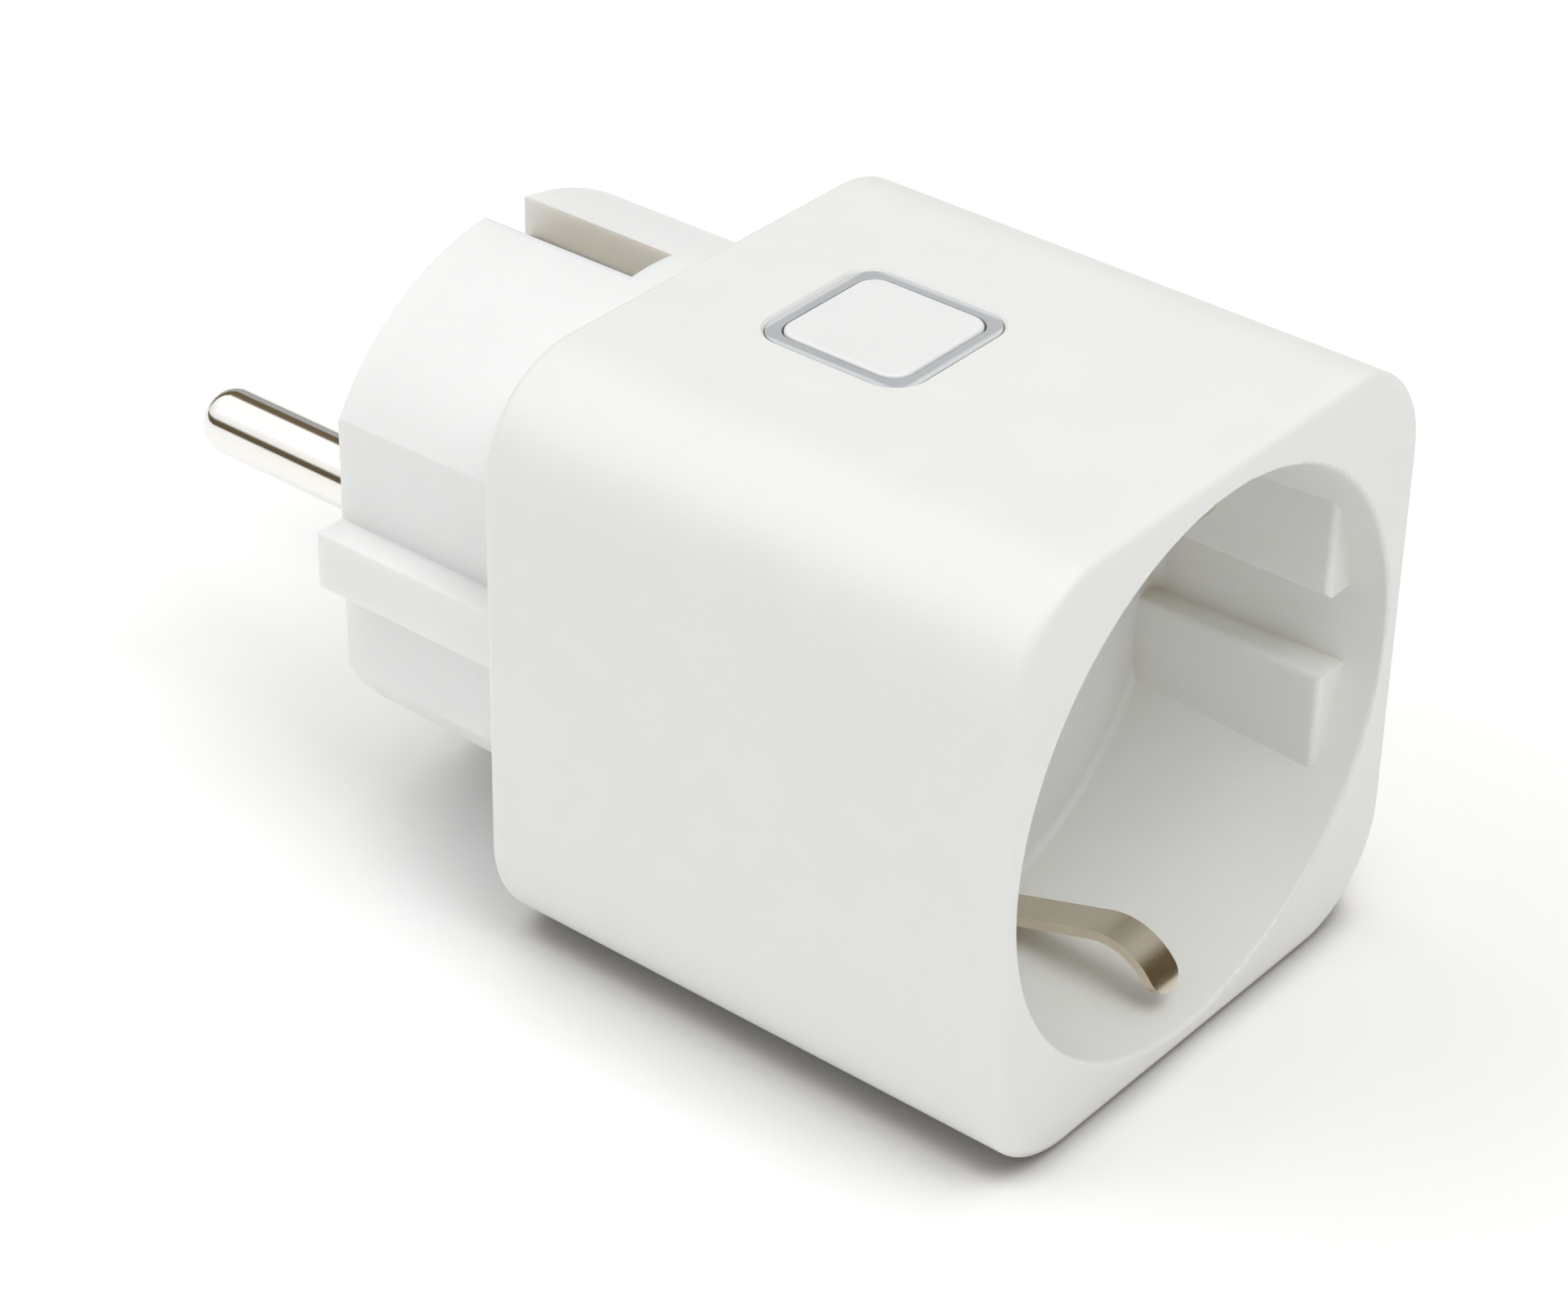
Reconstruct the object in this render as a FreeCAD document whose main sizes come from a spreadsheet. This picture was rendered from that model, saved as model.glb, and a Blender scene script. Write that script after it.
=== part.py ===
import FreeCAD, Part
import Sketcher
import math
import os
import re

from FreeCAD import Placement, Rotation, Vector

# A compact plug-in power meter: a square case with an earthed socket in its front, the matching
# plug on its back, a button with a light ring on top, and two circuit boards, a relay and the
# live parts between them.  Every sub-part is drawn on the plug's axis, with y = 0 at the socket's
# front face and +Y towards the pins, and is then placed so that the case stands on z = 0.

SIZES = {
    # case
    "case_side": 43.0, "case_depth": 41.25, "corner_round": 8.0, "edge_round": 0.8,
    "case_wall": 2.1, "front_wall": 2.0, "rebate": 0.6, "back_plate": 2.0, "seam_gap": 0.1,
    # socket recess
    "recess_mouth_r": 19.85, "recess_floor_r": 19.35, "recess_depth": 17.5, "recess_lip": 0.3,
    "recess_corner": 0.6, "cup_r": 21.15, "floor_thick": 1.6, "guide_x": 16.9, "guide_start": 2.8,
    "guide_low": 3.0, "guide_high": 10.0, "guide_round": 0.5, "relief_half": 2.1,
    "relief_top": 20.0,
    # pins, holes and spacing shared by the plug and the socket
    "pin_r": 2.4, "pin_length": 19.0, "pin_dome": 2.0, "pin_x": 9.5, "pin_hole_r": 2.75,
    "pin_seat_r": 2.7, "pin_collar_r": 3.6, "pin_tail_r": 1.5,
    # plug body
    "plug_length": 17.5, "plug_root_r": 19.15, "plug_face_r": 19.0, "plug_flat_x": 16.3,
    "plug_rib_x": 18.65, "plug_rib_half": 2.1, "plug_face_wall": 2.35, "plug_edge": 0.2,
    "hollow_x": 14.6, "hollow_z": 13.9, "slot_half": 2.0, "slot_length": 13.0,
    "strap_top": 16.2, "strap_thick": 0.8, "earth_hole_z": 10.0, "earth_hole_r": 2.5,
    # socket side, layer by layer behind the recess floor
    "clip_half": 1.4, "clip_thick": 0.7, "clip_base": 19.1, "clip_arm_z": 18.2,
    "clip_straight": 16.9, "clip_curl": 4.0, "clip_curl_y": 6.1, "clip_curl_z": 19.8,
    "clip_tip_round": 1.3,
    "shutter_start": 20.1, "shutter_thick": 2.0, "shutter_half": 3.2, "shutter_reach": 13.0,
    "shutter_bore": 1.55, "shutter_round": 1.4, "spring_seat_r": 2.75, "spring_seat": 1.2,
    "ramp_inside": 7.2, "ramp_outside": 11.8, "ramp_low": 1.2, "ramp_high": 3.3, "ramp_deep": 1.1,
    "spring_r": 2.15, "spring_wire_r": 0.11, "spring_pitch": 0.28, "spring_height": 0.7,
    "carrier_x": 17.4, "carrier_z": 5.5, "carrier_round": 2.0, "peg_x": 15.8, "peg_r": 1.4,
    "link_half": 1.6, "link_thick": 0.6, "link_low": 19.0, "link_high": 15.6, "link_foot": 14.0,
    "carrier_start": 22.4, "carrier_thick": 1.6, "pivot_r": 1.5,
    "sleeve_r": 3.1, "sleeve_bore": 2.43, "sleeve_length": 10.2,
    # boards and the parts on them
    "board_front": 36.0, "board_thick": 1.6, "board_half": 18.0, "board_round": 6.0,
    "post_at": 15.5, "post_r": 2.0, "control_low": 14.9, "control_thick": 1.0,
    "control_half": 12.6, "control_start": 20.9,
    "chip_pitch": 1.27, "header_pitch": 2.54, "header_half": 7.62,
    "film_left": 17.0, "film_right": 4.6, "film_low": 5.2, "film_top": 10.4, "film_tall": 10.5,
    "can_r": 4.0, "can_tall": 12.0, "can_x": 12.2, "can_z": 8.4, "can_round": 0.7,
    "fuse_r": 1.7, "fuse_cap_r": 1.9, "fuse_tall": 10.0, "fuse_x": 15.0, "fuse_z": 9.0,
    "bobbin_r": 4.2, "winding_r": 3.5, "bobbin_tall": 8.0, "bobbin_x": 6.3, "bobbin_z": 7.9,
    "varistor_r": 4.2, "varistor_thick": 3.2,
    # relay
    "relay_half": 10.0, "relay_low": -17.5, "relay_high": -7.5, "relay_middle": -12.5,
    "relay_top": 22.5, "relay_wall": 0.6, "relay_hinge_x": 1.4, "relay_hinge": 24.5,
    "coil_x": -4.0,
    # button
    "button_depth_at": 26.6, "key_half": 4.9, "key_deep": 3.6, "key_round": 1.5, "ring_half": 5.95,
    "ring_round": 2.2, "ring_inner": 5.05, "ring_sunk": 0.15, "fit_gap": 0.08,
}

DOC = FreeCAD.newDocument("plug_in_power_meter")
SHEET = DOC.addObject("Spreadsheet::Sheet", "dims")
FINISHED = {}


def fill_sheet():
    """Write each driving dimension as one row: its name beside its value."""
    for row, (name, value) in enumerate(SIZES.items(), start=1):
        SHEET.set(f"A{row}", name)
        SHEET.set(f"B{row}", str(value))
        SHEET.setAlias(f"B{row}", name)
    DOC.recompute()


def cell(expression):
    """Turn 'case_side/2 - 1' into an expression that reads the sheet."""
    return re.sub(r"[a-z]\w*", lambda m: "dims." + m.group() if m.group() in SIZES else m.group(),
                  str(expression))


def size(expression):
    """The present value of an expression, for the first guess of a sketch point."""
    return float(SHEET.evalExpression(cell(expression)))


def bind(item, prop, expression):
    item.setExpression(prop, cell(expression))


# ---------------------------------------------------------------- sketch and feature helpers

PLANES = {"X": ("YZ_Plane", 1), "Y": ("XZ_Plane", -1), "Z": ("XY_Plane", 1)}


def new_body(name):
    return DOC.addObject("PartDesign::Body", name + "_body")


def new_sketch(body, axis, at="0"):
    """An empty sketch square to one axis, at a given place along it."""
    plane, sign = PLANES[axis]
    origin = next(o for o in body.Origin.OriginFeatures if o.Role == plane)
    sketch = body.newObject("Sketcher::SketchObject", body.Name + "_sketch")
    sketch.AttachmentSupport = (origin, [""])
    sketch.MapMode = "FlatFace"
    bind(sketch, ".AttachmentOffset.Base.z", at if sign > 0 else f"-({at})")
    return sketch


def arc_centre(start, end, radius):
    """Centre of the arc between two points: to the left of travel when the radius is positive."""
    middle = (start + end) / 2
    chord = end - start
    left = Vector(-chord.y, chord.x, 0).normalize()
    rise = math.sqrt(max(radius ** 2 - (chord.Length / 2) ** 2, 0))
    return middle + left * math.copysign(rise, radius)


def draw_outline(sketch, outline):
    """Close an outline of (x, y) corners; (x, y, radius) is reached by an arc instead."""
    corners = [Vector(size(p[0]), size(p[1]), 0) for p in outline]
    for i, start in enumerate(corners):
        step = outline[(i + 1) % len(outline)]
        end = corners[(i + 1) % len(outline)]
        if len(step) == 2:
            sketch.addGeometry(Part.LineSegment(start, end))
            continue
        radius = size(step[2])
        centre = arc_centre(start, end, radius)
        first, last = (start, end) if radius > 0 else (end, start)
        angles = [math.atan2(p.y - centre.y, p.x - centre.x) for p in (first, last)]
        circle = Part.Circle(centre, Vector(0, 0, 1), abs(radius))
        sketch.addGeometry(Part.ArcOfCircle(circle, *angles))
    ends = [(2, 1) if len(p) > 2 and size(p[2]) < 0 else (1, 2)
            for p in outline[1:] + outline[:1]]
    for i, place in enumerate(outline):
        before = (i - 1) % len(outline)
        sketch.addConstraint(Sketcher.Constraint("Coincident", before, ends[before][1],
                                                 i, ends[i][0]))
        for kind, value in (("DistanceX", place[0]), ("DistanceY", place[1])):
            index = sketch.addConstraint(Sketcher.Constraint(kind, -1, 1, i, ends[i][0],
                                                             size(value)))
            bind(sketch, f"Constraints[{index}]", value)
        if len(place) > 2:
            index = sketch.addConstraint(Sketcher.Constraint("Radius", before,
                                                             abs(size(place[2]))))
            bind(sketch, f"Constraints[{index}]", f"abs({place[2]})")


def draw_circles(sketch, centres, radius):
    """Circles of one radius at the given (x, y) places."""
    for i, (x, y) in enumerate(centres):
        centre = Vector(size(x), size(y), 0)
        sketch.addGeometry(Part.Circle(centre, Vector(0, 0, 1), size(radius)))
        for kind, value in (("DistanceX", x), ("DistanceY", y)):
            index = sketch.addConstraint(Sketcher.Constraint(kind, -1, 1, i, 3, size(value)))
            bind(sketch, f"Constraints[{index}]", value)
        index = sketch.addConstraint(Sketcher.Constraint("Radius", i, size(radius)))
        bind(sketch, f"Constraints[{index}]", radius)


def extrude(body, axis, low, high, cut, draw):
    """Pad or pocket a drawn sketch from low to high along one axis."""
    before = 0.0 if body.Tip is None else body.Shape.Volume
    sketch = new_sketch(body, axis, low)
    draw(sketch)
    feature = body.newObject("PartDesign::Pocket" if cut else "PartDesign::Pad",
                             body.Name + ("_cut" if cut else "_pad"))
    feature.Profile = sketch
    feature.Reversed = (axis == "Y") != cut
    bind(feature, "Length", f"({high}) - ({low})")
    DOC.recompute()
    change = body.Shape.Volume - before
    if (change >= 0) == cut:
        raise ValueError(f"{feature.Name} changed the volume by {change:.3f}")


def pad(body, axis, low, high, outline):
    extrude(body, axis, low, high, False, lambda s: draw_outline(s, outline))


def pocket(body, axis, low, high, outline):
    extrude(body, axis, low, high, True, lambda s: draw_outline(s, outline))


def pad_rounds(body, axis, low, high, centres, radius):
    extrude(body, axis, low, high, False, lambda s: draw_circles(s, centres, radius))


def drill(body, axis, low, high, centres, radius):
    extrude(body, axis, low, high, True, lambda s: draw_circles(s, centres, radius))


def turn(body, outline, cut=False):
    """Revolve an outline of (radius, y) corners about the Y axis, to add or to cut."""
    before = 0.0 if body.Tip is None else body.Shape.Volume
    sketch = new_sketch(body, "Z")
    draw_outline(sketch, outline)
    kind = "PartDesign::Groove" if cut else "PartDesign::Revolution"
    feature = body.newObject(kind, body.Name + "_turn")
    feature.Profile = sketch
    feature.ReferenceAxis = (sketch, ["V_Axis"])
    feature.Angle = 360
    DOC.recompute()
    if (body.Shape.Volume >= before) == cut:
        raise ValueError(f"{feature.Name} did not change the volume as meant")


def rectangle(x_low, x_high, y_low, y_high):
    return [(x_low, y_low), (x_high, y_low), (x_high, y_high), (x_low, y_high)]


def edges_along(shape, axis, test):
    """Names of the straight edges along one axis whose middle passes a test."""
    names = []
    for i, edge in enumerate(shape.Edges, start=1):
        if not isinstance(edge.Curve, Part.Line):
            continue
        if abs(getattr(edge.Curve.Direction, axis)) > 0.999 and test(edge.CenterOfMass):
            names.append(f"Edge{i}")
    return names


def edges_at(shape, axis, place, test=lambda middle: True):
    """Names of the edges that lie wholly in one plane square to an axis."""
    names = []
    for i, edge in enumerate(shape.Edges, start=1):
        box = edge.BoundBox
        low, high = getattr(box, axis.upper() + "Min"), getattr(box, axis.upper() + "Max")
        if abs(low - place) < 1e-3 and abs(high - place) < 1e-3 and test(edge.CenterOfMass):
            names.append(f"Edge{i}")
    return names


def soften(body, names, radius, kind="Fillet"):
    """Fillet or chamfer the named edges of the body as it is now."""
    base = body.Tip
    feature = body.newObject("PartDesign::" + kind, body.Name + "_" + kind.lower())
    feature.Base = (base, names)
    bind(feature, "Radius" if kind == "Fillet" else "Size", radius)
    DOC.recompute()


def finish(item, name):
    """Name a finished sub-part and stand it on the case's bottom, centred."""
    item.Label = name
    bind(item, ".Placement.Base.y", "-(case_depth + plug_length + pin_length)/2")
    bind(item, ".Placement.Base.z", "case_side/2")
    FINISHED[name] = item


def brick(name, x, y, z):
    """A Part::Box between bound limits."""
    box = DOC.addObject("Part::Box", name)
    for prop, span in (("Length", x), ("Width", y), ("Height", z)):
        bind(box, prop, f"({span[1]}) - ({span[0]})")
    for letter, span in (("x", x), ("y", y), ("z", z)):
        bind(box, ".Placement.Base." + letter, span[0])
    return box


def rod(name, radius, x, y, z):
    """A Part::Cylinder along Y between the two limits of y."""
    cylinder = DOC.addObject("Part::Cylinder", name)
    cylinder.Placement = Placement(Vector(), Rotation(Vector(1, 0, 0), -90))
    bind(cylinder, "Radius", radius)
    bind(cylinder, "Height", f"({y[1]}) - ({y[0]})")
    for letter, value in (("x", x), ("y", y[0]), ("z", z)):
        bind(cylinder, ".Placement.Base." + letter, value)
    return cylinder


def joined(name, items):
    fuse = DOC.addObject("Part::MultiFuse", name)
    fuse.Shapes = items
    return fuse


def lessened(name, base, tool):
    cut = DOC.addObject("Part::Cut", name)
    cut.Base, cut.Tool = base, tool
    return cut


def grouped(name, items):
    """Like pieces that don't touch, kept as one sub-part of separate solids."""
    group = DOC.addObject("Part::Compound", name)
    group.Links = items
    return group


# ---------------------------------------------------------------- case

def make_front_housing():
    """The square case and its round socket recess, one moulding open at the back."""
    body = new_body("front_housing")
    pad(body, "Y", "0", "case_depth", rounded_square("case_side/2", "corner_round"))
    ends = edges_at(body.Shape, "y", 0) + edges_at(body.Shape, "y", SIZES["case_depth"])
    soften(body, ends, "edge_round")
    pocket(body, "Y", "front_wall", "case_depth + 1",
           rounded_square("case_side/2 - case_wall", "corner_round - case_wall"))
    cut_rebate(body)
    pad_rounds(body, "Y", "front_wall/2", "recess_depth + floor_thick", [("0", "0")], "cup_r")
    cut_recess(body)
    add_guides(body)
    cut_openings(body)
    add_posts(body)
    finish(body, "front_housing")


def cut_rebate(body):
    """The step round the open end that the back plate drops into."""
    reach = "case_side/2 - case_wall + rebate"
    turn_in = "corner_round - case_wall + rebate"
    pocket(body, "Y", "case_depth - back_plate", "case_depth + 1",
           rounded_square(reach, turn_in))


def rounded_square(reach, turn_in):
    """A square outline with an arc at each corner, drawn counter-clockwise."""
    near = f"({reach}) - ({turn_in})"
    return [(near, f"-({reach})"), (reach, f"-({near})", turn_in),
            (reach, near), (near, reach, turn_in),
            (f"-({near})", reach), (f"-({reach})", near, turn_in),
            (f"-({reach})", f"-({near})"), (f"-({near})", f"-({reach})", turn_in)]


def cut_recess(body):
    """A drafted round recess with a rounded lip and a rounded floor corner."""
    turn(body, [("0", "-1"), ("recess_mouth_r + recess_lip", "-1"),
                ("recess_mouth_r + recess_lip", "0"),
                ("recess_mouth_r", "recess_lip", "-recess_lip"),
                ("recess_floor_r", "recess_depth - recess_corner"),
                ("recess_floor_r - recess_corner", "recess_depth", "recess_corner"),
                ("0", "recess_depth")], cut=True)


def add_guides(body):
    """Four flat-faced guide blocks, two each side, with a groove between for the plug's rib."""
    for side in (1, -1):
        for level in (1, -1):
            corners = [("guide_x", "guide_low"), ("cup_r - 0.5", "guide_low"),
                       ("cup_r - 2.8", "guide_high"), ("guide_x", "guide_high + 0.6")]
            outline = [(f"{side}*({x})", f"{level}*({z})") for x, z in corners]
            pad(body, "Y", "guide_start", "recess_depth + 0.2", outline)
    start, flat, low = SIZES["guide_start"], SIZES["guide_x"], SIZES["guide_low"]
    lead_in = edges_at(body.Shape, "y", start, lambda c: abs(abs(c.x) - flat) < 0.02)
    beside_groove = edges_along(body.Shape, "y", lambda c: abs(abs(c.x) - flat) < 0.02
                                and abs(abs(c.z) - low) < 0.02)
    soften(body, lead_in + beside_groove, "guide_round")


def cut_openings(body):
    """Pin holes, the earth clip's two slots and its upper relief, and the button's window."""
    pin_places = [("pin_x", "0"), ("-pin_x", "0")]
    drill(body, "Y", "recess_depth - 1", "recess_depth + floor_thick + 1", pin_places,
          "pin_hole_r")
    pocket(body, "Y", "-1", "recess_depth",
           rectangle("-relief_half", "relief_half", "clip_arm_z", "relief_top"))
    for level in (1, -1):
        slot = rectangle("-relief_half", "relief_half", f"{level}*(clip_arm_z - 0.6)",
                         f"{level}*(clip_arm_z + clip_thick + 0.3)")
        pocket(body, "Y", "recess_depth - 1", "recess_depth + floor_thick + 1", slot)
    pocket(body, "Z", "case_side/2 - case_wall - 1", "case_side/2 + 1",
           level_square("ring_half + fit_gap"))
    middle, reach = SIZES["button_depth_at"], SIZES["ring_half"] + SIZES["fit_gap"]
    corners = edges_along(body.Shape, "z", lambda c: abs(abs(c.x) - reach) < 0.01
                          and abs(abs(c.y - middle) - reach) < 0.01)
    soften(body, corners, "ring_round + fit_gap")
    rim = edges_at(body.Shape, "z", SIZES["case_side"] / 2,
                   lambda c: abs(c.x) < 7 and abs(c.y - middle) < 7)
    soften(body, rim, "0.2", "Chamfer")


def add_posts(body):
    """Corner posts that carry the power board, and two ledges under the control board."""
    corners = [(f"{i}*post_at", f"{j}*post_at") for i in (1, -1) for j in (1, -1)]
    pad_rounds(body, "Y", "front_wall/2", "board_front", corners, "post_r")
    for side in (1, -1):
        ledge = rectangle(f"{side}*(control_half - 1.2)", f"{side}*(case_side/2 - case_wall + 0.5)",
                          "control_low - 1.6", "control_low")
        pad(body, "Y", "recess_depth", "control_start + 3", ledge)


def make_rear_cover():
    """The back plate and the round plug body, one moulding, hollow behind the plug face."""
    body = new_body("rear_cover")
    reach = "case_side/2 - case_wall + rebate - seam_gap"
    turn_in = "corner_round - case_wall + rebate - seam_gap"
    pad(body, "Y", "case_depth - back_plate", "case_depth", rounded_square(reach, turn_in))
    face = "case_depth + plug_length"
    turn(body, [("0", "case_depth - back_plate/2"), ("plug_root_r", "case_depth - back_plate/2"),
                ("plug_root_r", "case_depth"), ("plug_face_r", face + " - plug_edge"),
                ("plug_face_r - plug_edge", face, "plug_edge"), ("0", face)])
    cut_side_flats(body)
    cut_hollow(body)
    cut_strap_slots(body)
    add_board_pads(body)
    finish(body, "rear_cover")


def cut_side_flats(body):
    """Flats at both sides of the plug body; what is left between them is the guide rib."""
    face = "case_depth + plug_length"
    for side in (1, -1):
        for level in (1, -1):
            flat = rectangle(f"{side}*plug_flat_x", f"{side}*25", f"{level}*plug_rib_half",
                             f"{level}*25")
            pocket(body, "Y", "case_depth", face + " + 1", flat)
        trim = rectangle(f"{side}*plug_rib_x", f"{side}*25", "-5", "5")
        pocket(body, "Y", "case_depth", face + " + 1", trim)


def cut_hollow(body):
    """The space behind the plug face, with the two pin holes and the earth hole."""
    face = "case_depth + plug_length"
    outline = [("hollow_x", "-8.6"), ("hollow_x", "8.6"), ("9.6", "hollow_z"),
               ("-9.6", "hollow_z"), ("-hollow_x", "8.6"), ("-hollow_x", "-8.6"),
               ("-9.6", "-hollow_z"), ("9.6", "-hollow_z")]
    pocket(body, "Y", "case_depth - back_plate - 1", face + " - plug_face_wall", outline)
    drill(body, "Y", face + " - plug_face_wall - 1", face + " + 1",
          [("pin_x", "0"), ("-pin_x", "0")], "pin_seat_r + 0.06")
    drill(body, "Y", face + " - plug_face_wall - 1", face + " + 1", [("0", "earth_hole_z")],
          "earth_hole_r + 0.25")


def cut_strap_slots(body):
    """Top and bottom: the open slot in the plug's side, and the channel the strap slides into."""
    face = "case_depth + plug_length"
    for level in (1, -1):
        floor = f"{level}*(strap_top - strap_thick - 0.05)"
        slot = rectangle("-slot_half", "slot_half", floor, f"{level}*25")
        pocket(body, "Y", face + " - slot_length", face + " + 1", slot)
        channel = rectangle("-slot_half", "slot_half", f"{level}*(hollow_z - 0.5)",
                            f"{level}*(strap_top + 0.05)")
        pocket(body, "Y", "case_depth - back_plate - 1", "case_depth + 2", channel)
        tunnel = rectangle("-slot_half", "slot_half", floor, f"{level}*(strap_top + 0.05)")
        pocket(body, "Y", "case_depth + 1.9", face + " - slot_length + 0.1", tunnel)


def add_board_pads(body):
    """Four short pads that press the power board onto its posts."""
    corners = [(f"{i}*post_at", f"{j}*post_at") for i in (1, -1) for j in (1, -1)]
    pad_rounds(body, "Y", "board_front + board_thick", "case_depth - back_plate + 0.2", corners,
               "post_r")


# ---------------------------------------------------------------- plug metalwork

def make_pins():
    """Two turned pins: a domed shank, a collar behind the plug face and a tail for the bar."""
    face = "case_depth + plug_length"
    tip = face + " + pin_length"
    for name, side in (("line_pin", 1), ("neutral_pin", -1)):
        body = new_body(name)
        turn(body, [("0", face + " - 7.6"), ("pin_tail_r", face + " - 7.6"),
                    ("pin_tail_r", face + " - plug_face_wall - 1.6"),
                    ("pin_collar_r", face + " - plug_face_wall - 1.6"),
                    ("pin_collar_r", face + " - plug_face_wall"),
                    ("pin_seat_r", face + " - plug_face_wall"), ("pin_seat_r", face),
                    ("pin_r", face), ("pin_r", tip + " - pin_dome"),
                    ("pin_r - pin_dome", tip, "pin_dome"), ("0", tip)])
        finish(body, name)
        bind(body, ".Placement.Base.x", f"{side}*pin_x")


def make_bus_bars():
    """An L of flat copper from each pin's tail to the power board."""
    eye = "case_depth + plug_length - 6.6"
    for name, side in (("line_bus_bar", 1), ("neutral_bus_bar", -1)):
        body = new_body(name)
        pad(body, "Y", eye, eye + " + 1", rectangle(f"{side}*(pin_x - 3)", f"{side}*(pin_x + 4)",
                                                    "-2.6", "2.6"))
        drill(body, "Y", eye + " - 1", eye + " + 2", [(f"{side}*pin_x", "0")],
              "pin_tail_r + 0.02")
        pad(body, "Y", "board_front + board_thick", eye + " + 1",
            rectangle(f"{side}*(pin_x + 3)", f"{side}*(pin_x + 4)", "-2", "2"))
        finish(body, name)


def make_earth_strap():
    """The plug's earth contact: one U of strip, its arms lying in the two slots."""
    body = new_body("plug_earth_strap")
    base = "case_depth + 0.75"
    tip = "case_depth + plug_length - 0.6"
    under = "strap_top - strap_thick"
    outline = [(base, "-strap_top"), (tip, "-strap_top"), (tip, f"-({under})"),
               (base + " + strap_thick", f"-({under})"), (base + " + strap_thick", under),
               (tip, under), (tip, "strap_top"), (base, "strap_top")]
    pad(body, "X", "-slot_half + 0.1", "slot_half - 0.1", outline)
    bends = edges_along(body.Shape, "x", lambda c: abs(c.y - size(base)) < 0.01)
    soften(body, bends, "0.7")
    finish(body, "plug_earth_strap")


def make_earth_sleeve():
    """The round earth contact behind the hole in the plug face, standing on the strap."""
    outer = rod("earth_sleeve_outer", "earth_hole_r + 0.6", "0",
                ("case_depth + 0.75 + strap_thick", "case_depth + plug_length - plug_face_wall"),
                "earth_hole_z")
    bore = rod("earth_sleeve_bore", "earth_hole_r", "0",
               ("case_depth + 3", "case_depth + plug_length"), "earth_hole_z")
    finish(lessened("earth_pin_sleeve_cut", outer, bore), "earth_pin_sleeve")


# ---------------------------------------------------------------- socket metalwork

CURL_START, CURL_END = -73, -160


def make_socket_clip():
    """The socket's earth clip: one sprung strip whose two arms curl out at the mouth."""
    body = new_body("socket_earth_clip")
    back, front = "clip_base + clip_thick", "clip_base"
    inner, outer = "clip_curl", "(clip_curl + clip_thick)"
    arm = [(back, "clip_arm_z + clip_thick"), ("clip_straight", "clip_arm_z + clip_thick"),
           on_curl(inner, CURL_START), on_curl(inner, CURL_END) + (f"-{inner}",),
           on_curl(outer, CURL_END), on_curl(outer, CURL_START) + (outer,),
           ("clip_straight", "clip_arm_z"), (front, "clip_arm_z")]
    mirrored = [(p[0], f"-({p[1]})") + tuple(f"-({r})" for r in p[2:]) for p in arm]
    lower = reverse_steps(mirrored)
    pad(body, "X", "-clip_half", "clip_half", arm + lower)
    bends = edges_along(body.Shape, "x", lambda c: c.y > SIZES["clip_base"] + 0.5)
    soften(body, bends, "clip_thick - 0.1")
    tips = [name for side in (1, -1)
            for name in edges_at(body.Shape, "x", side * SIZES["clip_half"], at_tip)]
    soften(body, tips, "clip_tip_round")
    finish(body, "socket_earth_clip")


def on_curl(radius, angle):
    """A (y, z) corner on the circle that an arm's end is curled round, in degrees."""
    return (f"clip_curl_y + {radius}*cos({angle} deg)", f"clip_curl_z + {radius}*sin({angle} deg)")


def at_tip(middle):
    """Whether an edge's middle lies across the free end of a clip arm."""
    reach = SIZES["clip_curl"] + SIZES["clip_thick"] / 2
    end = SIZES["clip_curl_y"] + reach * math.cos(math.radians(CURL_END))
    return abs(middle.y - end) < 0.1


def reverse_steps(steps):
    """The same outline walked the other way round, with each arc kept between its own ends."""
    ends = [step[:2] for step in reversed(steps)]
    radii = [step[2:] for step in reversed(steps)]
    return [ends[0]] + [end + tuple(f"-({r})" for r in radius)
                        for end, radius in zip(ends[1:], radii)]


def make_socket_contacts():
    """A slit spring sleeve for each appliance pin, with a tail to the power board."""
    for name, side in (("line_socket_contact", 1), ("neutral_socket_contact", -1)):
        body = new_body(name)
        end = "carrier_start + sleeve_length"
        turn(body, [("sleeve_bore + 0.3", "carrier_start"), ("sleeve_r", "carrier_start"),
                    ("sleeve_r", end), ("sleeve_bore", end), ("sleeve_bore", "carrier_start + 0.5")])
        pocket(body, "Y", "carrier_start - 1", end + " + 1",
               rectangle("-0.6", "0.6", "1", "4"))
        inner, outer = f"{side}*(sleeve_bore + 0.02)", f"{side}*(sleeve_r - 0.02)"
        pad(body, "Y", end + " - 3", "board_front", rectangle(inner, outer, "-1.4", "1.4"))
        finish(body, name)
        bind(body, ".Placement.Base.x", f"{side}*pin_x")


def make_contact_carrier():
    """The insulating plate that holds the two sleeves and carries the shutter's pivot."""
    body = new_body("contact_carrier")
    pad(body, "Y", "carrier_start", "carrier_start + carrier_thick",
        rectangle("-carrier_x", "carrier_x", "-carrier_z", "carrier_z"))
    soften(body, edges_along(body.Shape, "y", lambda c: True), "carrier_round")
    drill(body, "Y", "carrier_start - 1", "carrier_start + carrier_thick + 1",
          [("pin_x", "0"), ("-pin_x", "0")], "sleeve_r + 0.05")
    pad_rounds(body, "Y", "recess_depth + floor_thick", "carrier_start + 0.1",
               [("peg_x", "0"), ("-peg_x", "0")], "peg_r")
    pad_rounds(body, "Y", "shutter_start", "carrier_start + 0.1", [("0", "0")], "pivot_r")
    finish(body, "contact_carrier")


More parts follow.
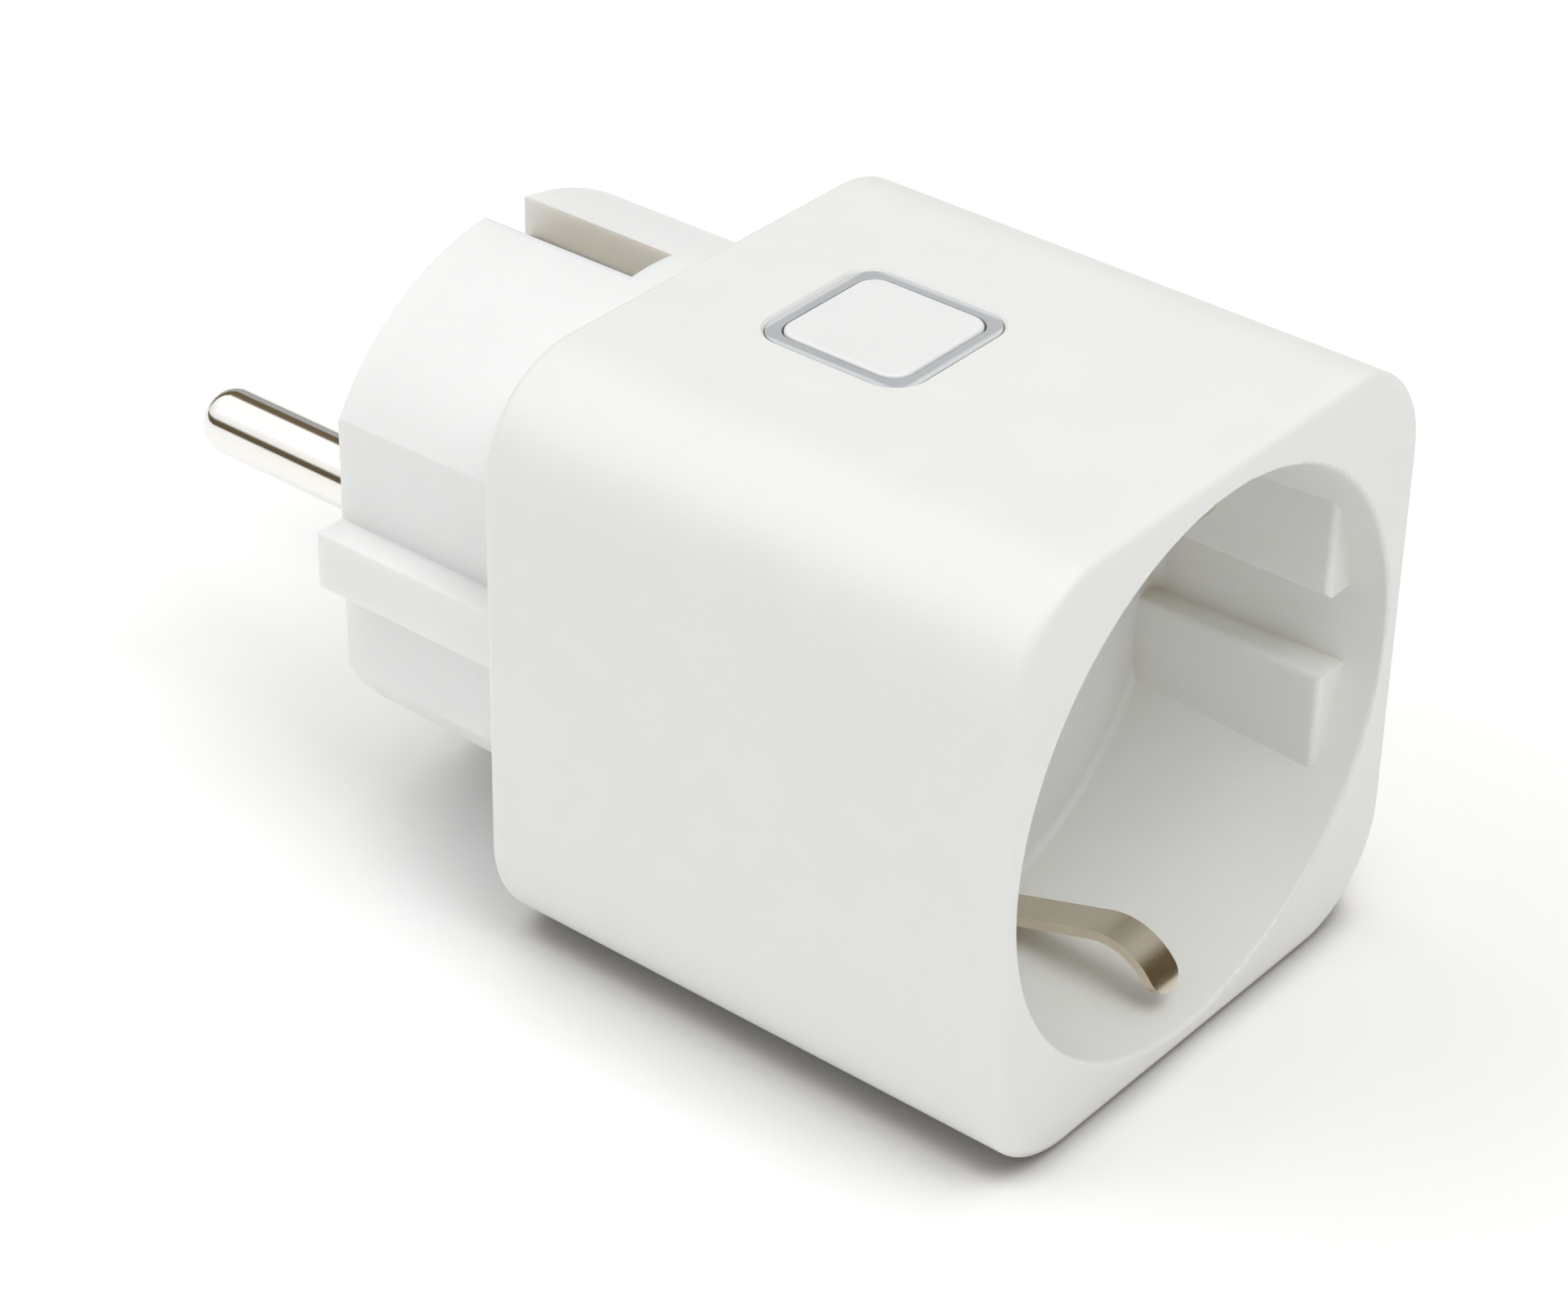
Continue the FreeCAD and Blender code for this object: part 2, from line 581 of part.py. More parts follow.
def make_shutter():
    """The bar that covers both pin holes, with a ramp by each and a bore for its pivot."""
    body = new_body("child_shutter")
    end = "shutter_start + shutter_thick"
    pad(body, "Y", "shutter_start", end,
        rectangle("-shutter_reach", "shutter_reach", "-shutter_half", "shutter_half"))
    soften(body, edges_along(body.Shape, "y", lambda c: True), "shutter_round")
    drill(body, "Y", "shutter_start - 1", end + " + 1", [("0", "0")], "shutter_bore")
    drill(body, "Y", end + " - spring_seat", end + " + 1", [("0", "0")], "spring_seat_r")
    for side, across in ((1, ("ramp_inside", "ramp_outside")),
                         (-1, ("-ramp_outside", "-ramp_inside"))):
        ramp = [("shutter_start - 0.5", f"{-side}*ramp_low"),
                ("shutter_start + ramp_deep", f"{side}*ramp_high"),
                ("shutter_start - 0.5", f"{side}*ramp_high")]
        pocket(body, "X", *across, ramp)
    finish(body, "child_shutter")


def make_shutter_spring():
    """A torsion coil round the pivot, lying in the shutter's pocket."""
    low = "shutter_start + shutter_thick - 0.95"
    helix = DOC.addObject("Part::Helix", "shutter_spring_path")
    helix.Placement = Placement(Vector(), Rotation(Vector(1, 0, 0), -90))
    bind(helix, "Pitch", "spring_pitch")
    bind(helix, "Height", "spring_height")
    bind(helix, "Radius", "spring_r")
    bind(helix, ".Placement.Base.y", low)
    wire = DOC.addObject("Part::Circle", "shutter_spring_wire")
    bind(wire, "Radius", "spring_wire_r")
    bind(wire, ".Placement.Base.x", "spring_r")
    bind(wire, ".Placement.Base.y", low)
    coil = DOC.addObject("Part::Sweep", "shutter_spring_coil")
    coil.Sections = [wire]
    coil.Spine = (helix, ["Edge1"])
    coil.Solid, coil.Frenet = True, True
    finish(coil, "shutter_spring")


def make_earth_link():
    """The strip along the case's bottom that joins the socket clip to the plug's strap."""
    body = new_body("earth_link")
    start, end = "clip_base + clip_thick", "case_depth + 0.75"
    low, high = "-link_low", "-(link_low - link_thick)"
    under, over = "-link_high", "-(link_high - link_thick)"
    rise = "board_front + board_thick + 0.6"
    outline = [(start, "-link_foot"), (start, low), (rise + " + link_thick", low),
               (rise + " + link_thick", under), (end, under), (end, over), (rise, over),
               (rise, high), (start + " + link_thick", high),
               (start + " + link_thick", "-link_foot")]
    pad(body, "X", "-link_half", "link_half", outline)
    finish(body, "earth_link")


# ---------------------------------------------------------------- boards

RELAY_LEGS = ("-8.4", "4.9", "8.2")


def make_power_board():
    """The upright board that carries the relay and the supply, held by the four posts."""
    body = new_body("power_board")
    pad(body, "Y", "board_front", "board_front + board_thick",
        rounded_square("board_half", "board_round"))
    drill(body, "Y", "board_front - 1", "board_front + board_thick + 1",
          [(x, "relay_middle") for x in RELAY_LEGS], "0.55")
    finish(body, "power_board")


def make_control_board():
    """The level board under the case's top, with the button's switch, the lights and the radio."""
    body = new_body("control_board")
    high = "control_low + control_thick"
    pad(body, "Z", "control_low", high,
        rectangle("-control_half", "control_half", "control_start", "board_front - 0.2"))
    soften(body, edges_along(body.Shape, "z", lambda c: True), "0.8")
    finish(body, "control_board")


def make_board_header():
    """Six square pins in a strip, joining the two boards at a right angle."""
    strip = brick("header_strip", ("-header_half", "header_half"),
                  ("board_front - 2.7", "board_front - 0.2"),
                  ("control_low - 2.4", "control_low"))
    pins = []
    for i in range(6):
        middle = f"({i} - 2.5)*header_pitch"
        pins.append(brick(f"header_pin_{i + 1}", (f"{middle} - 0.32", f"{middle} + 0.32"),
                          ("board_front - 0.9", "board_front"),
                          ("control_low - 1.5", "control_low - 0.9")))
    finish(joined("board_header_all", [strip] + pins), "board_header")


def make_chips():
    """The radio module and the metering chip, each a body on two rows of short legs."""
    high = "control_low + control_thick"
    base = brick("radio_base", ("-12", "-7"), ("22.4", "34.6"), (high, high + " + 0.7"))
    can = brick("radio_can", ("-11.7", "-7.3"), ("22.8", "31"),
                (high + " + 0.7", high + " + 2.2"))
    finish(joined("radio_module_all", [base, can]), "radio_module")

    back = "board_front + board_thick"
    case = brick("chip_case", ("-5", "5"), (back + " + 0.1", back + " + 1.45"), ("3", "7"))
    legs = []
    for i in range(8):
        middle = f"({i} - 3.5)*chip_pitch"
        for row, (low, top) in enumerate((("2", "3.1"), ("6.9", "8"))):
            legs.append(brick(f"chip_leg_{row}_{i}", (f"{middle} - 0.2", f"{middle} + 0.2"),
                              (back, back + " + 0.5"), (low, top)))
    finish(joined("metering_chip_all", [case] + legs), "metering_chip")


def make_board_parts():
    """The larger parts on the power board, each resting on one of its faces."""
    face = "board_front"
    back = "board_front + board_thick"
    cap = new_body("suppression_capacitor")
    pad(cap, "Y", face + " - film_tall", face,
        rectangle("-film_left", "-film_right", "film_low", "film_top"))
    soften(cap, edges_along(cap.Shape, "y", lambda c: True), "0.6")
    soften(cap, edges_at(cap.Shape, "y", size(face + " - film_tall")), "0.6")
    finish(cap, "suppression_capacitor")

    can = new_body("smoothing_capacitor")
    end = face + " - can_tall"
    turn(can, [("0", end), ("can_r - can_round", end), ("can_r", end + " + can_round", "can_round"),
               ("can_r", face + " - 2.4"), ("can_r - 0.25", face + " - 2"),
               ("can_r", face + " - 1.6"), ("can_r", face), ("0", face)])
    finish(can, "smoothing_capacitor")
    bind(can, ".Placement.Base.x", "can_x")
    bind(can, ".Placement.Base.z", "case_side/2 + can_z")

    fuse = new_body("safety_fuse")
    end = face + " - fuse_tall"
    turn(fuse, [("0", end), ("fuse_cap_r", end), ("fuse_cap_r", end + " + 2"),
                ("fuse_r", end + " + 2"), ("fuse_r", face + " - 3"), ("fuse_cap_r", face + " - 3"),
                ("fuse_cap_r", face), ("0", face)])
    finish(fuse, "safety_fuse")
    bind(fuse, ".Placement.Base.x", "fuse_x")
    bind(fuse, ".Placement.Base.z", "case_side/2 - fuse_z")

    coil = new_body("supply_coil")
    end = back + " + bobbin_tall"
    turn(coil, [("0", back), ("bobbin_r", back), ("bobbin_r", back + " + 1.2"),
                ("winding_r", back + " + 1.2"), ("winding_r", end + " - 1"),
                ("bobbin_r", end + " - 1"), ("bobbin_r", end), ("0", end)])
    finish(coil, "supply_coil")
    bind(coil, ".Placement.Base.x", "-bobbin_x")
    bind(coil, ".Placement.Base.z", "case_side/2 - bobbin_z")

    shunt = new_body("current_shunt")
    foot, hump = back + " + 0.5", back + " + 1.3"
    outline = [(back, "-3"), (foot, "-3"), (foot, "-1.6"), (hump, "-0.8"), (hump, "2.8"),
               (foot, "3.6"), (foot, "5"), (back, "5"), (back, "3.4"), (back + " + 0.8", "2.6"),
               (back + " + 0.8", "-0.6"), (back, "-1.4")]
    pad(shunt, "X", "-10.8", "-7.8", outline)
    finish(shunt, "current_shunt")


def make_varistor():
    """A surge-absorbing disc standing on edge, on two wire legs."""
    disc = DOC.addObject("Part::Cylinder", "varistor_disc")
    disc.Placement = Placement(Vector(), Rotation(Vector(0, 1, 0), 90))
    bind(disc, "Radius", "varistor_r")
    bind(disc, "Height", "varistor_thick")
    for letter, value in (("x", "-16.6"), ("y", "board_front - 5.4"), ("z", "-8.5")):
        bind(disc, ".Placement.Base." + letter, value)
    legs = [rod(f"varistor_leg_{i + 1}", "0.35", "-15", ("board_front - 3.5", "board_front"),
                str(-10.5 + 4 * i)) for i in range(2)]
    finish(joined("varistor_all", [disc] + legs), "varistor")


# ---------------------------------------------------------------- relay

def make_relay_case():
    """The relay's base plate, and the thin box that covers its works."""
    span = ("-relay_half", "relay_half")
    level = ("relay_low", "relay_high")
    base = brick("relay_base_plate", ("-relay_half + relay_wall + 0.05",
                                      "relay_half - relay_wall - 0.05"),
                 ("board_front - 1.6", "board_front - 0.2"),
                 ("relay_low + relay_wall + 0.05", "relay_high - relay_wall - 0.05"))
    legs = [rod(f"relay_leg_{i + 1}", "0.4", x,
                ("board_front - 0.3", "board_front + board_thick + 1"), "relay_middle")
            for i, x in enumerate(RELAY_LEGS)]
    finish(joined("relay_base_all", [base] + legs), "relay_base")
    outer = brick("relay_cover_outer", span, ("relay_top", "board_front - 0.2"), level)
    inner = brick("relay_cover_inner", ("-relay_half + relay_wall", "relay_half - relay_wall"),
                  ("relay_top + relay_wall", "board_front"),
                  ("relay_low + relay_wall", "relay_high - relay_wall"))
    finish(lessened("relay_cover_cut", outer, inner), "relay_cover")


def make_relay_magnet():
    """The wound coil on its bobbin, and the soft-iron yoke with the core through it."""
    coil = new_body("relay_coil")
    turn(coil, [("1.55", "25.5"), ("3.9", "25.5"), ("3.9", "26.1"), ("3.5", "26.1"),
                ("3.5", "32.7"), ("3.9", "32.7"), ("3.9", "33.3"), ("1.55", "33.3")])
    finish(coil, "relay_coil")
    bind(coil, ".Placement.Base.x", "coil_x")
    bind(coil, ".Placement.Base.z", "case_side/2 + relay_middle")

    yoke = new_body("relay_yoke")
    outline = [("-8", "33.4"), ("relay_hinge_x - 1", "33.4"), ("relay_hinge_x - 1", "24.6"),
               ("relay_hinge_x", "24.6"), ("relay_hinge_x", "34.3"), ("-8", "34.3")]
    pad(yoke, "Z", "-15.5", "-9.5", outline)
    pad_rounds(yoke, "Y", "24.95", "33.5", [("coil_x", "relay_middle")], "1.5")
    finish(yoke, "relay_yoke")


def make_relay_contacts():
    """The hinged armature, the sprung blade it moves, and the fixed contact the blade meets."""
    plate = new_body("relay_armature")
    pad(plate, "Y", "relay_hinge - 0.8", "relay_hinge", rectangle("-7.6", "2.0", "-15.3", "-9.7"))
    finish(plate, "relay_armature")

    blade = new_body("relay_contact_blade")
    rest = "relay_hinge - 0.8"
    arm = [("-2", rest + " - 0.3"), ("3.3", rest + " - 0.3"), ("3.3", "30.6"), ("3", "30.6"),
           ("3", rest), ("-2", rest)]
    pad(blade, "Z", "-14", "-11", arm)
    pad_rounds(blade, "X", "3.2", "3.8", [("29.4", "relay_middle")], "1.1")
    finish(blade, "relay_contact_blade")

    fixed = new_body("relay_fixed_contact")
    pad(fixed, "X", "4.7", "5.1", rectangle("27.6", "board_front - 1.6", "-14", "-11"))
    pad_rounds(fixed, "X", "4.12", "4.8", [("29.4", "relay_middle")], "1.1")
    finish(fixed, "relay_fixed_contact")


# ---------------------------------------------------------------- button and lights

def make_button():
    """The square key: a thin cap with a flange that catches under the ring, and a stem."""
    body = new_body("power_button")
    top = "case_side/2"
    foot = "case_side/2 - key_deep"
    pad(body, "Z", foot, top, level_square("key_half"))
    soften(body, edges_along(body.Shape, "z", lambda c: True), "key_round")
    soften(body, edges_at(body.Shape, "z", SIZES["case_side"] / 2), "0.25")
    pad(body, "Z", foot, foot + " + 0.55", level_square("key_half + 0.5"))
    pocket(body, "Z", foot + " - 1", top + " - 1.2", level_square("key_half - 1"))
    pad_rounds(body, "Z", foot, top + " - 1.1", [("0", "button_depth_at")], "1.4")
    finish(body, "power_button")


def make_light_ring():
    """The light guide round the key: a square tube with a flange that sits under the case top."""
    body = new_body("light_ring")
    top = "case_side/2 - ring_sunk"
    under = "case_side/2 - case_wall"
    pad(body, "Z", under + " - 0.7", under, level_square("ring_half + 0.6"))
    pad(body, "Z", under + " - 0.1", top, level_square("ring_half"))
    outside, inside = SIZES["ring_half"], SIZES["ring_inner"]
    corners = edges_along(body.Shape, "z", lambda c: c.z > size(under)
                          and abs(abs(c.x) - outside) < 0.01)
    soften(body, corners, "ring_round")
    pocket(body, "Z", under + " - 1", top + " + 1", level_square("ring_inner"))
    corners = edges_along(body.Shape, "z", lambda c: abs(abs(c.x) - inside) < 0.01)
    soften(body, corners, "key_round + 0.15")
    finish(body, "light_ring")


def level_square(half):
    """A square about the button's middle, as seen from above."""
    return rectangle(f"-({half})", half, f"button_depth_at - ({half})",
                     f"button_depth_at + ({half})")


def make_switch():
    """The push switch under the key: a square body and its round plunger."""
    low = "control_low + control_thick"
    body = new_body("tact_switch")
    pad(body, "Z", low, low + " + 1.5",
        rectangle("-2.6", "2.6", "button_depth_at - 2.6", "button_depth_at + 2.6"))
    drill(body, "Z", low + " + 0.7", low + " + 2", [("0", "button_depth_at")], "1.25")
    finish(body, "tact_switch")
    plunger = new_body("tact_plunger")
    pad_rounds(plunger, "Z", low + " + 1.1", "case_side/2 - key_deep - 0.04",
               [("0", "button_depth_at")], "1.15")
    finish(plunger, "tact_plunger")


def make_lights():
    """Four small lights on the control board, one under each side of the ring."""
    low = "control_low + control_thick"
    places = [("ring_half - 0.5", "0"), ("-(ring_half - 0.5)", "0"), ("0", "ring_half - 0.5"),
              ("0", "-(ring_half - 0.5)")]
    lights = [brick(f"light_{i + 1}", (f"{x} - 0.5", f"{x} + 0.5"),
                    (f"button_depth_at + {y} - 0.5", f"button_depth_at + {y} + 0.5"),
                    (low, low + " + 0.6")) for i, (x, y) in enumerate(places)]
    finish(grouped("status_lights_all", lights), "status_lights")


# ---------------------------------------------------------------- check and write

def check_all():
    """Stop if any object failed, or a finished sub-part has no valid shape."""
    DOC.recompute()
    for item in DOC.Objects:
        if "Invalid" in item.State or "Error" in item.State:
            raise ValueError(f"{item.Name} is {item.State}")
    for name, item in FINISHED.items():
        if item.Shape.isNull() or not item.Shape.isValid() or not item.Shape.Solids:
            raise ValueError(f"{name} has no valid shape")


def write_all():
    os.makedirs("parts", exist_ok=True)
    for name, item in FINISHED.items():
        item.Shape.exportStep(f"parts/{name}.step")
        print(f"{name}: {item.Shape.Volume:.1f} mm3, {len(item.Shape.Solids)} solid(s)")


fill_sheet()
make_front_housing()
make_rear_cover()
make_pins()
make_bus_bars()
make_earth_strap()
make_earth_sleeve()
make_socket_clip()
make_socket_contacts()
make_contact_carrier()
make_shutter()
make_shutter_spring()
make_earth_link()
make_power_board()
make_control_board()
make_board_header()
make_chips()
make_board_parts()
make_varistor()
make_relay_case()
make_relay_magnet()
make_relay_contacts()
make_button()
make_light_ring()
make_switch()
make_lights()
check_all()
write_all()
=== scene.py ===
import math

import bpy
from mathutils import Matrix, Vector


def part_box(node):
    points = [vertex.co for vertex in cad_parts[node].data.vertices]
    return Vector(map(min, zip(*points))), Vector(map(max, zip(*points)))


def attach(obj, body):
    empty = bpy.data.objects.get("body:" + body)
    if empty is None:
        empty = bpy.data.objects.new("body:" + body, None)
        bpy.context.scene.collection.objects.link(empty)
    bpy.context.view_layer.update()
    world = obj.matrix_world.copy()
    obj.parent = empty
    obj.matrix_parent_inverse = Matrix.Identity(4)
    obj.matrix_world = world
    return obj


# A plug-in power meter, dressed and lit.  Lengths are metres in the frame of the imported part:
# +Y runs out along the plug's pins, +Z up through the button, and the case stands on z = 0.

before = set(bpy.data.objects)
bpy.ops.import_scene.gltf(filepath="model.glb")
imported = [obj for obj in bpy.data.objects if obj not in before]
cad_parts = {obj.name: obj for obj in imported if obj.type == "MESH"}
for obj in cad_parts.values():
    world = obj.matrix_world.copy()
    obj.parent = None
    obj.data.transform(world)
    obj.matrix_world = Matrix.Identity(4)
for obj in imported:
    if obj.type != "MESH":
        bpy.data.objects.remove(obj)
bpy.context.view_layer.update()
MM = 0.001


# ---------------------------------------------------------------- front housing
# The square case with the round socket recess in its front, one moulding open at the back.
# It is satin white polycarbonate blend, and the spark-eroded tool leaves a fine even grain on
# it, a little smoother where fingers and edges rub.

def step(tree, kind, wires=(), **settings):
    """Add a node: settings are its options, and wires pair each entry with a value or a source."""
    new = tree.nodes.new(kind)
    for option, value in settings.items():
        setattr(new, option, value)
    for entry, source in dict(wires).items():
        if isinstance(source, bpy.types.NodeSocket):
            tree.links.new(source, new.inputs[entry])
        else:
            new.inputs[entry].default_value = source
    return new


def sum_of(tree, action, *terms):
    """The result of one Math node."""
    return step(tree, "ShaderNodeMath", dict(enumerate(terms)), operation=action).outputs[0]


def spread(tree, value, low, high, to_low=0.0, to_high=1.0):
    """A value stretched from one range to another and held inside it."""
    wires = {"Value": value, "From Min": low, "From Max": high, "To Min": to_low,
             "To Max": to_high}
    return step(tree, "ShaderNodeMapRange", wires).outputs["Result"]


def tinted(tree, share, colour, other):
    """Two colours mixed by a mask."""
    wires = {0: share, 6: colour, 7: other}
    return step(tree, "ShaderNodeMix", wires, data_type="RGBA").outputs[2]


def new_group(name, kind, entries, results):
    """An empty node group with named sockets; returns it with its two end nodes."""
    group = bpy.data.node_groups.new(name, kind)
    for label, socket, value in entries:
        made = group.interface.new_socket(label, in_out="INPUT", socket_type=socket)
        if value is not None:
            made.default_value = value
    for label, socket in results:
        group.interface.new_socket(label, in_out="OUTPUT", socket_type=socket)
    return group, group.nodes.new("NodeGroupInput"), group.nodes.new("NodeGroupOutput")


def make_tool_grain():
    """Spark-eroded tool texture: a fine height, and a slow drift of tone and gloss."""
    group, given, result = new_group(
        "tool grain", "ShaderNodeTree",
        [("Vector", "NodeSocketVector", None), ("Cell", "NodeSocketFloat", 0.0003)],
        [("Height", "NodeSocketFloat"), ("Drift", "NodeSocketFloat")])
    fineness = sum_of(group, "DIVIDE", 1.0, given.outputs["Cell"])
    pits = step(group, "ShaderNodeTexNoise", {"Vector": given.outputs["Vector"],
                                              "Scale": fineness, "Detail": 3.0,
                                              "Roughness": 0.62})
    cells = step(group, "ShaderNodeTexVoronoi", {"Vector": given.outputs["Vector"],
                                                 "Scale": fineness, "Smoothness": 0.6},
                 feature="SMOOTH_F1")
    height = sum_of(group, "MULTIPLY_ADD", cells.outputs["Distance"], 0.45, pits.outputs[0])
    slow = step(group, "ShaderNodeTexNoise", {"Vector": given.outputs["Vector"],
                                              "Scale": 160.0, "Detail": 2.0})
    group.links.new(height, result.inputs["Height"])
    group.links.new(slow.outputs[0], result.inputs["Drift"])
    return group


def make_edge_rub():
    """A mask of the outer edges that hands and packing rub, broken up so that it isn't a line."""
    group, given, result = new_group(
        "edge rub", "ShaderNodeTree",
        [("Vector", "NodeSocketVector", None), ("Width", "NodeSocketFloat", 0.0004)],
        [("Edge", "NodeSocketFloat")])
    softened = step(group, "ShaderNodeBevel", {"Radius": given.outputs["Width"]}, samples=4)
    true = step(group, "ShaderNodeNewGeometry")
    turn = step(group, "ShaderNodeVectorMath", {0: softened.outputs[0], 1: true.outputs["Normal"]},
                operation="DOT_PRODUCT")
    bend = spread(group, turn.outputs["Value"], 0.995, 0.80)
    patches = step(group, "ShaderNodeTexNoise", {"Vector": given.outputs["Vector"],
                                                 "Scale": 900.0, "Detail": 3.0})
    broken = sum_of(group, "MULTIPLY", bend, spread(group, patches.outputs[0], 0.35, 0.6))
    group.links.new(broken, result.inputs["Edge"])
    return group


def make_settled_dust():
    """A thin, patchy dust that lies only on faces that look upwards."""
    group, given, result = new_group(
        "settled dust", "ShaderNodeTree", [("Vector", "NodeSocketVector", None)],
        [("Dust", "NodeSocketFloat")])
    facing = step(group, "ShaderNodeSeparateXYZ",
                  {0: step(group, "ShaderNodeNewGeometry").outputs["Normal"]})
    upward = spread(group, facing.outputs["Z"], 0.7, 1.0)
    specks = step(group, "ShaderNodeTexNoise", {"Vector": given.outputs["Vector"],
                                                "Scale": 5200.0, "Detail": 2.0})
    drifts = step(group, "ShaderNodeTexNoise", {"Vector": given.outputs["Vector"],
                                                "Scale": 240.0, "Detail": 3.0})
    lying = sum_of(group, "MULTIPLY", spread(group, specks.outputs[0], 0.56, 0.72),
                   spread(group, drifts.outputs[0], 0.42, 0.7))
    group.links.new(sum_of(group, "MULTIPLY", lying, upward), result.inputs["Dust"])
    return group


def placed(tree, group, wires):
    """One use of a shader group, with its own values."""
    return step(tree, "ShaderNodeGroup", wires, node_tree=group)


def new_material(name):
    """An empty material with its shader joined to the output; returns tree, shader, coordinates."""
    material = bpy.data.materials.new(name)
    material.use_nodes = True
    tree = material.node_tree
    tree.nodes.clear()
    shader = step(tree, "ShaderNodeBsdfPrincipled")
    step(tree, "ShaderNodeOutputMaterial", {"Surface": shader.outputs[0]})
    here = step(tree, "ShaderNodeTexCoord").outputs["Object"]
    return material, tree, shader, here


def raised(tree, shader, height, depth):
    """Feed a height to the shader's normal, with the relief's real depth."""
    bump = step(tree, "ShaderNodeBump", {"Height": height, "Distance": depth})
    tree.links.new(bump.outputs[0], shader.inputs["Normal"])


# Warm colour of the shade that is painted into the mouldings' enclosed corners and grooves.
PAINTED_CORNER_SHADE = (0.76, 0.68, 0.54, 1)
DUST_GREY = (0.62, 0.60, 0.56, 1)
PLASTIC_IOR = 1.53
CORNER_REACH = 6.0 * MM
GLOW_DEPTH = 1.6 * MM


def moulded(name, colour, shade, roughness, cell=0.28 * MM, depth=0.004 * MM, glow=0.0,
            corner_shade_weight=0.0):
    """A moulded plastic: tool grain, rubbed edges, dust, and warm shade painted into enclosed
    corners.
    """
    material, tree, shader, here = new_material(name)
    grain = placed(tree, tool_grain, {"Vector": here, "Cell": cell})
    edge = placed(tree, edge_rub, {"Vector": here, "Width": 0.35 * MM}).outputs["Edge"]
    dust = placed(tree, settled_dust, {"Vector": here}).outputs["Dust"]
    fresh = tinted(tree, spread(tree, grain.outputs["Drift"], 0.3, 0.7), (*shade, 1), (*colour, 1))
    # Painted shade: the colour warms by how closed in each point is, as ambient occlusion finds it.
    enclosed = step(tree, "ShaderNodeAmbientOcclusion", {"Distance": CORNER_REACH}, samples=8)
    painted_corner_shade = spread(tree, enclosed.outputs["AO"], 0.58, 0.2, 0.0, corner_shade_weight)
    body = tinted(tree, painted_corner_shade, fresh, PAINTED_CORNER_SHADE)
    lighter = [min(part * 1.05 + 0.01, 0.95) for part in colour]
    rubbed = tinted(tree, sum_of(tree, "MULTIPLY", edge, 0.5), body, (*lighter, 1))
    dusty = tinted(tree, sum_of(tree, "MULTIPLY", dust, 0.12), rubbed, DUST_GREY)
    tree.links.new(dusty, shader.inputs["Base Color"])
    drifting = spread(tree, grain.outputs["Drift"], 0.3, 0.7, roughness - 0.03, roughness + 0.03)
    polished = sum_of(tree, "MULTIPLY_ADD", edge, -0.06, drifting)
    tree.links.new(polished, shader.inputs["Roughness"])
    raised(tree, shader, grain.outputs["Height"], depth)
    shader.inputs["IOR"].default_value = PLASTIC_IOR
    if glow:
        shader.inputs["Subsurface Weight"].default_value = glow
        shader.inputs["Subsurface Radius"].default_value = (1.0, 0.75, 0.45)
        shader.inputs["Subsurface Scale"].default_value = GLOW_DEPTH
    return material


def dress(material, *nodes):
    """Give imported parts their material."""
    for node in nodes:
        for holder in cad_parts[node].material_slots:
            holder.material = material


tool_grain = make_tool_grain()
edge_rub = make_edge_rub()
settled_dust = make_settled_dust()

# The case's recess grooves and corners carry the strongest painted warm shade.
satin_white = moulded("satin white moulding", (0.850, 0.853, 0.836), (0.838, 0.840, 0.818), 0.42,
                      glow=0.12, corner_shade_weight=0.85)
dress(satin_white, "front_housing")


# ---------------------------------------------------------------- rear cover
# The back plate and the round plug body with its side guide ribs, one moulding of the same
# plastic from another tool, so its white is a touch cooler.  It drops into a step in the case.

cool_white = moulded("cool white moulding", (0.865, 0.872, 0.866), (0.850, 0.858, 0.850), 0.40,
                     glow=0.5)
dress(cool_white, "rear_cover")


# ---------------------------------------------------------------- button key
# A square cap of the case's plastic with a finer grain, held down by a flange under the ring.
# It moves a third of a millimetre on the push switch below.

key_white = moulded("key white moulding", (0.858, 0.866, 0.858), (0.846, 0.854, 0.846), 0.36,
                    cell=0.2 * MM, depth=0.003 * MM, glow=0.1)
dress(key_white, "power_button")


# ---------------------------------------------------------------- light ring
# The frame round the key is a light guide of smoky, slightly frosted polycarbonate.  Unlit it looks
# bluish grey, and a paler tone is painted along its thin, polished outer lip, standing for the
# light on and through it.

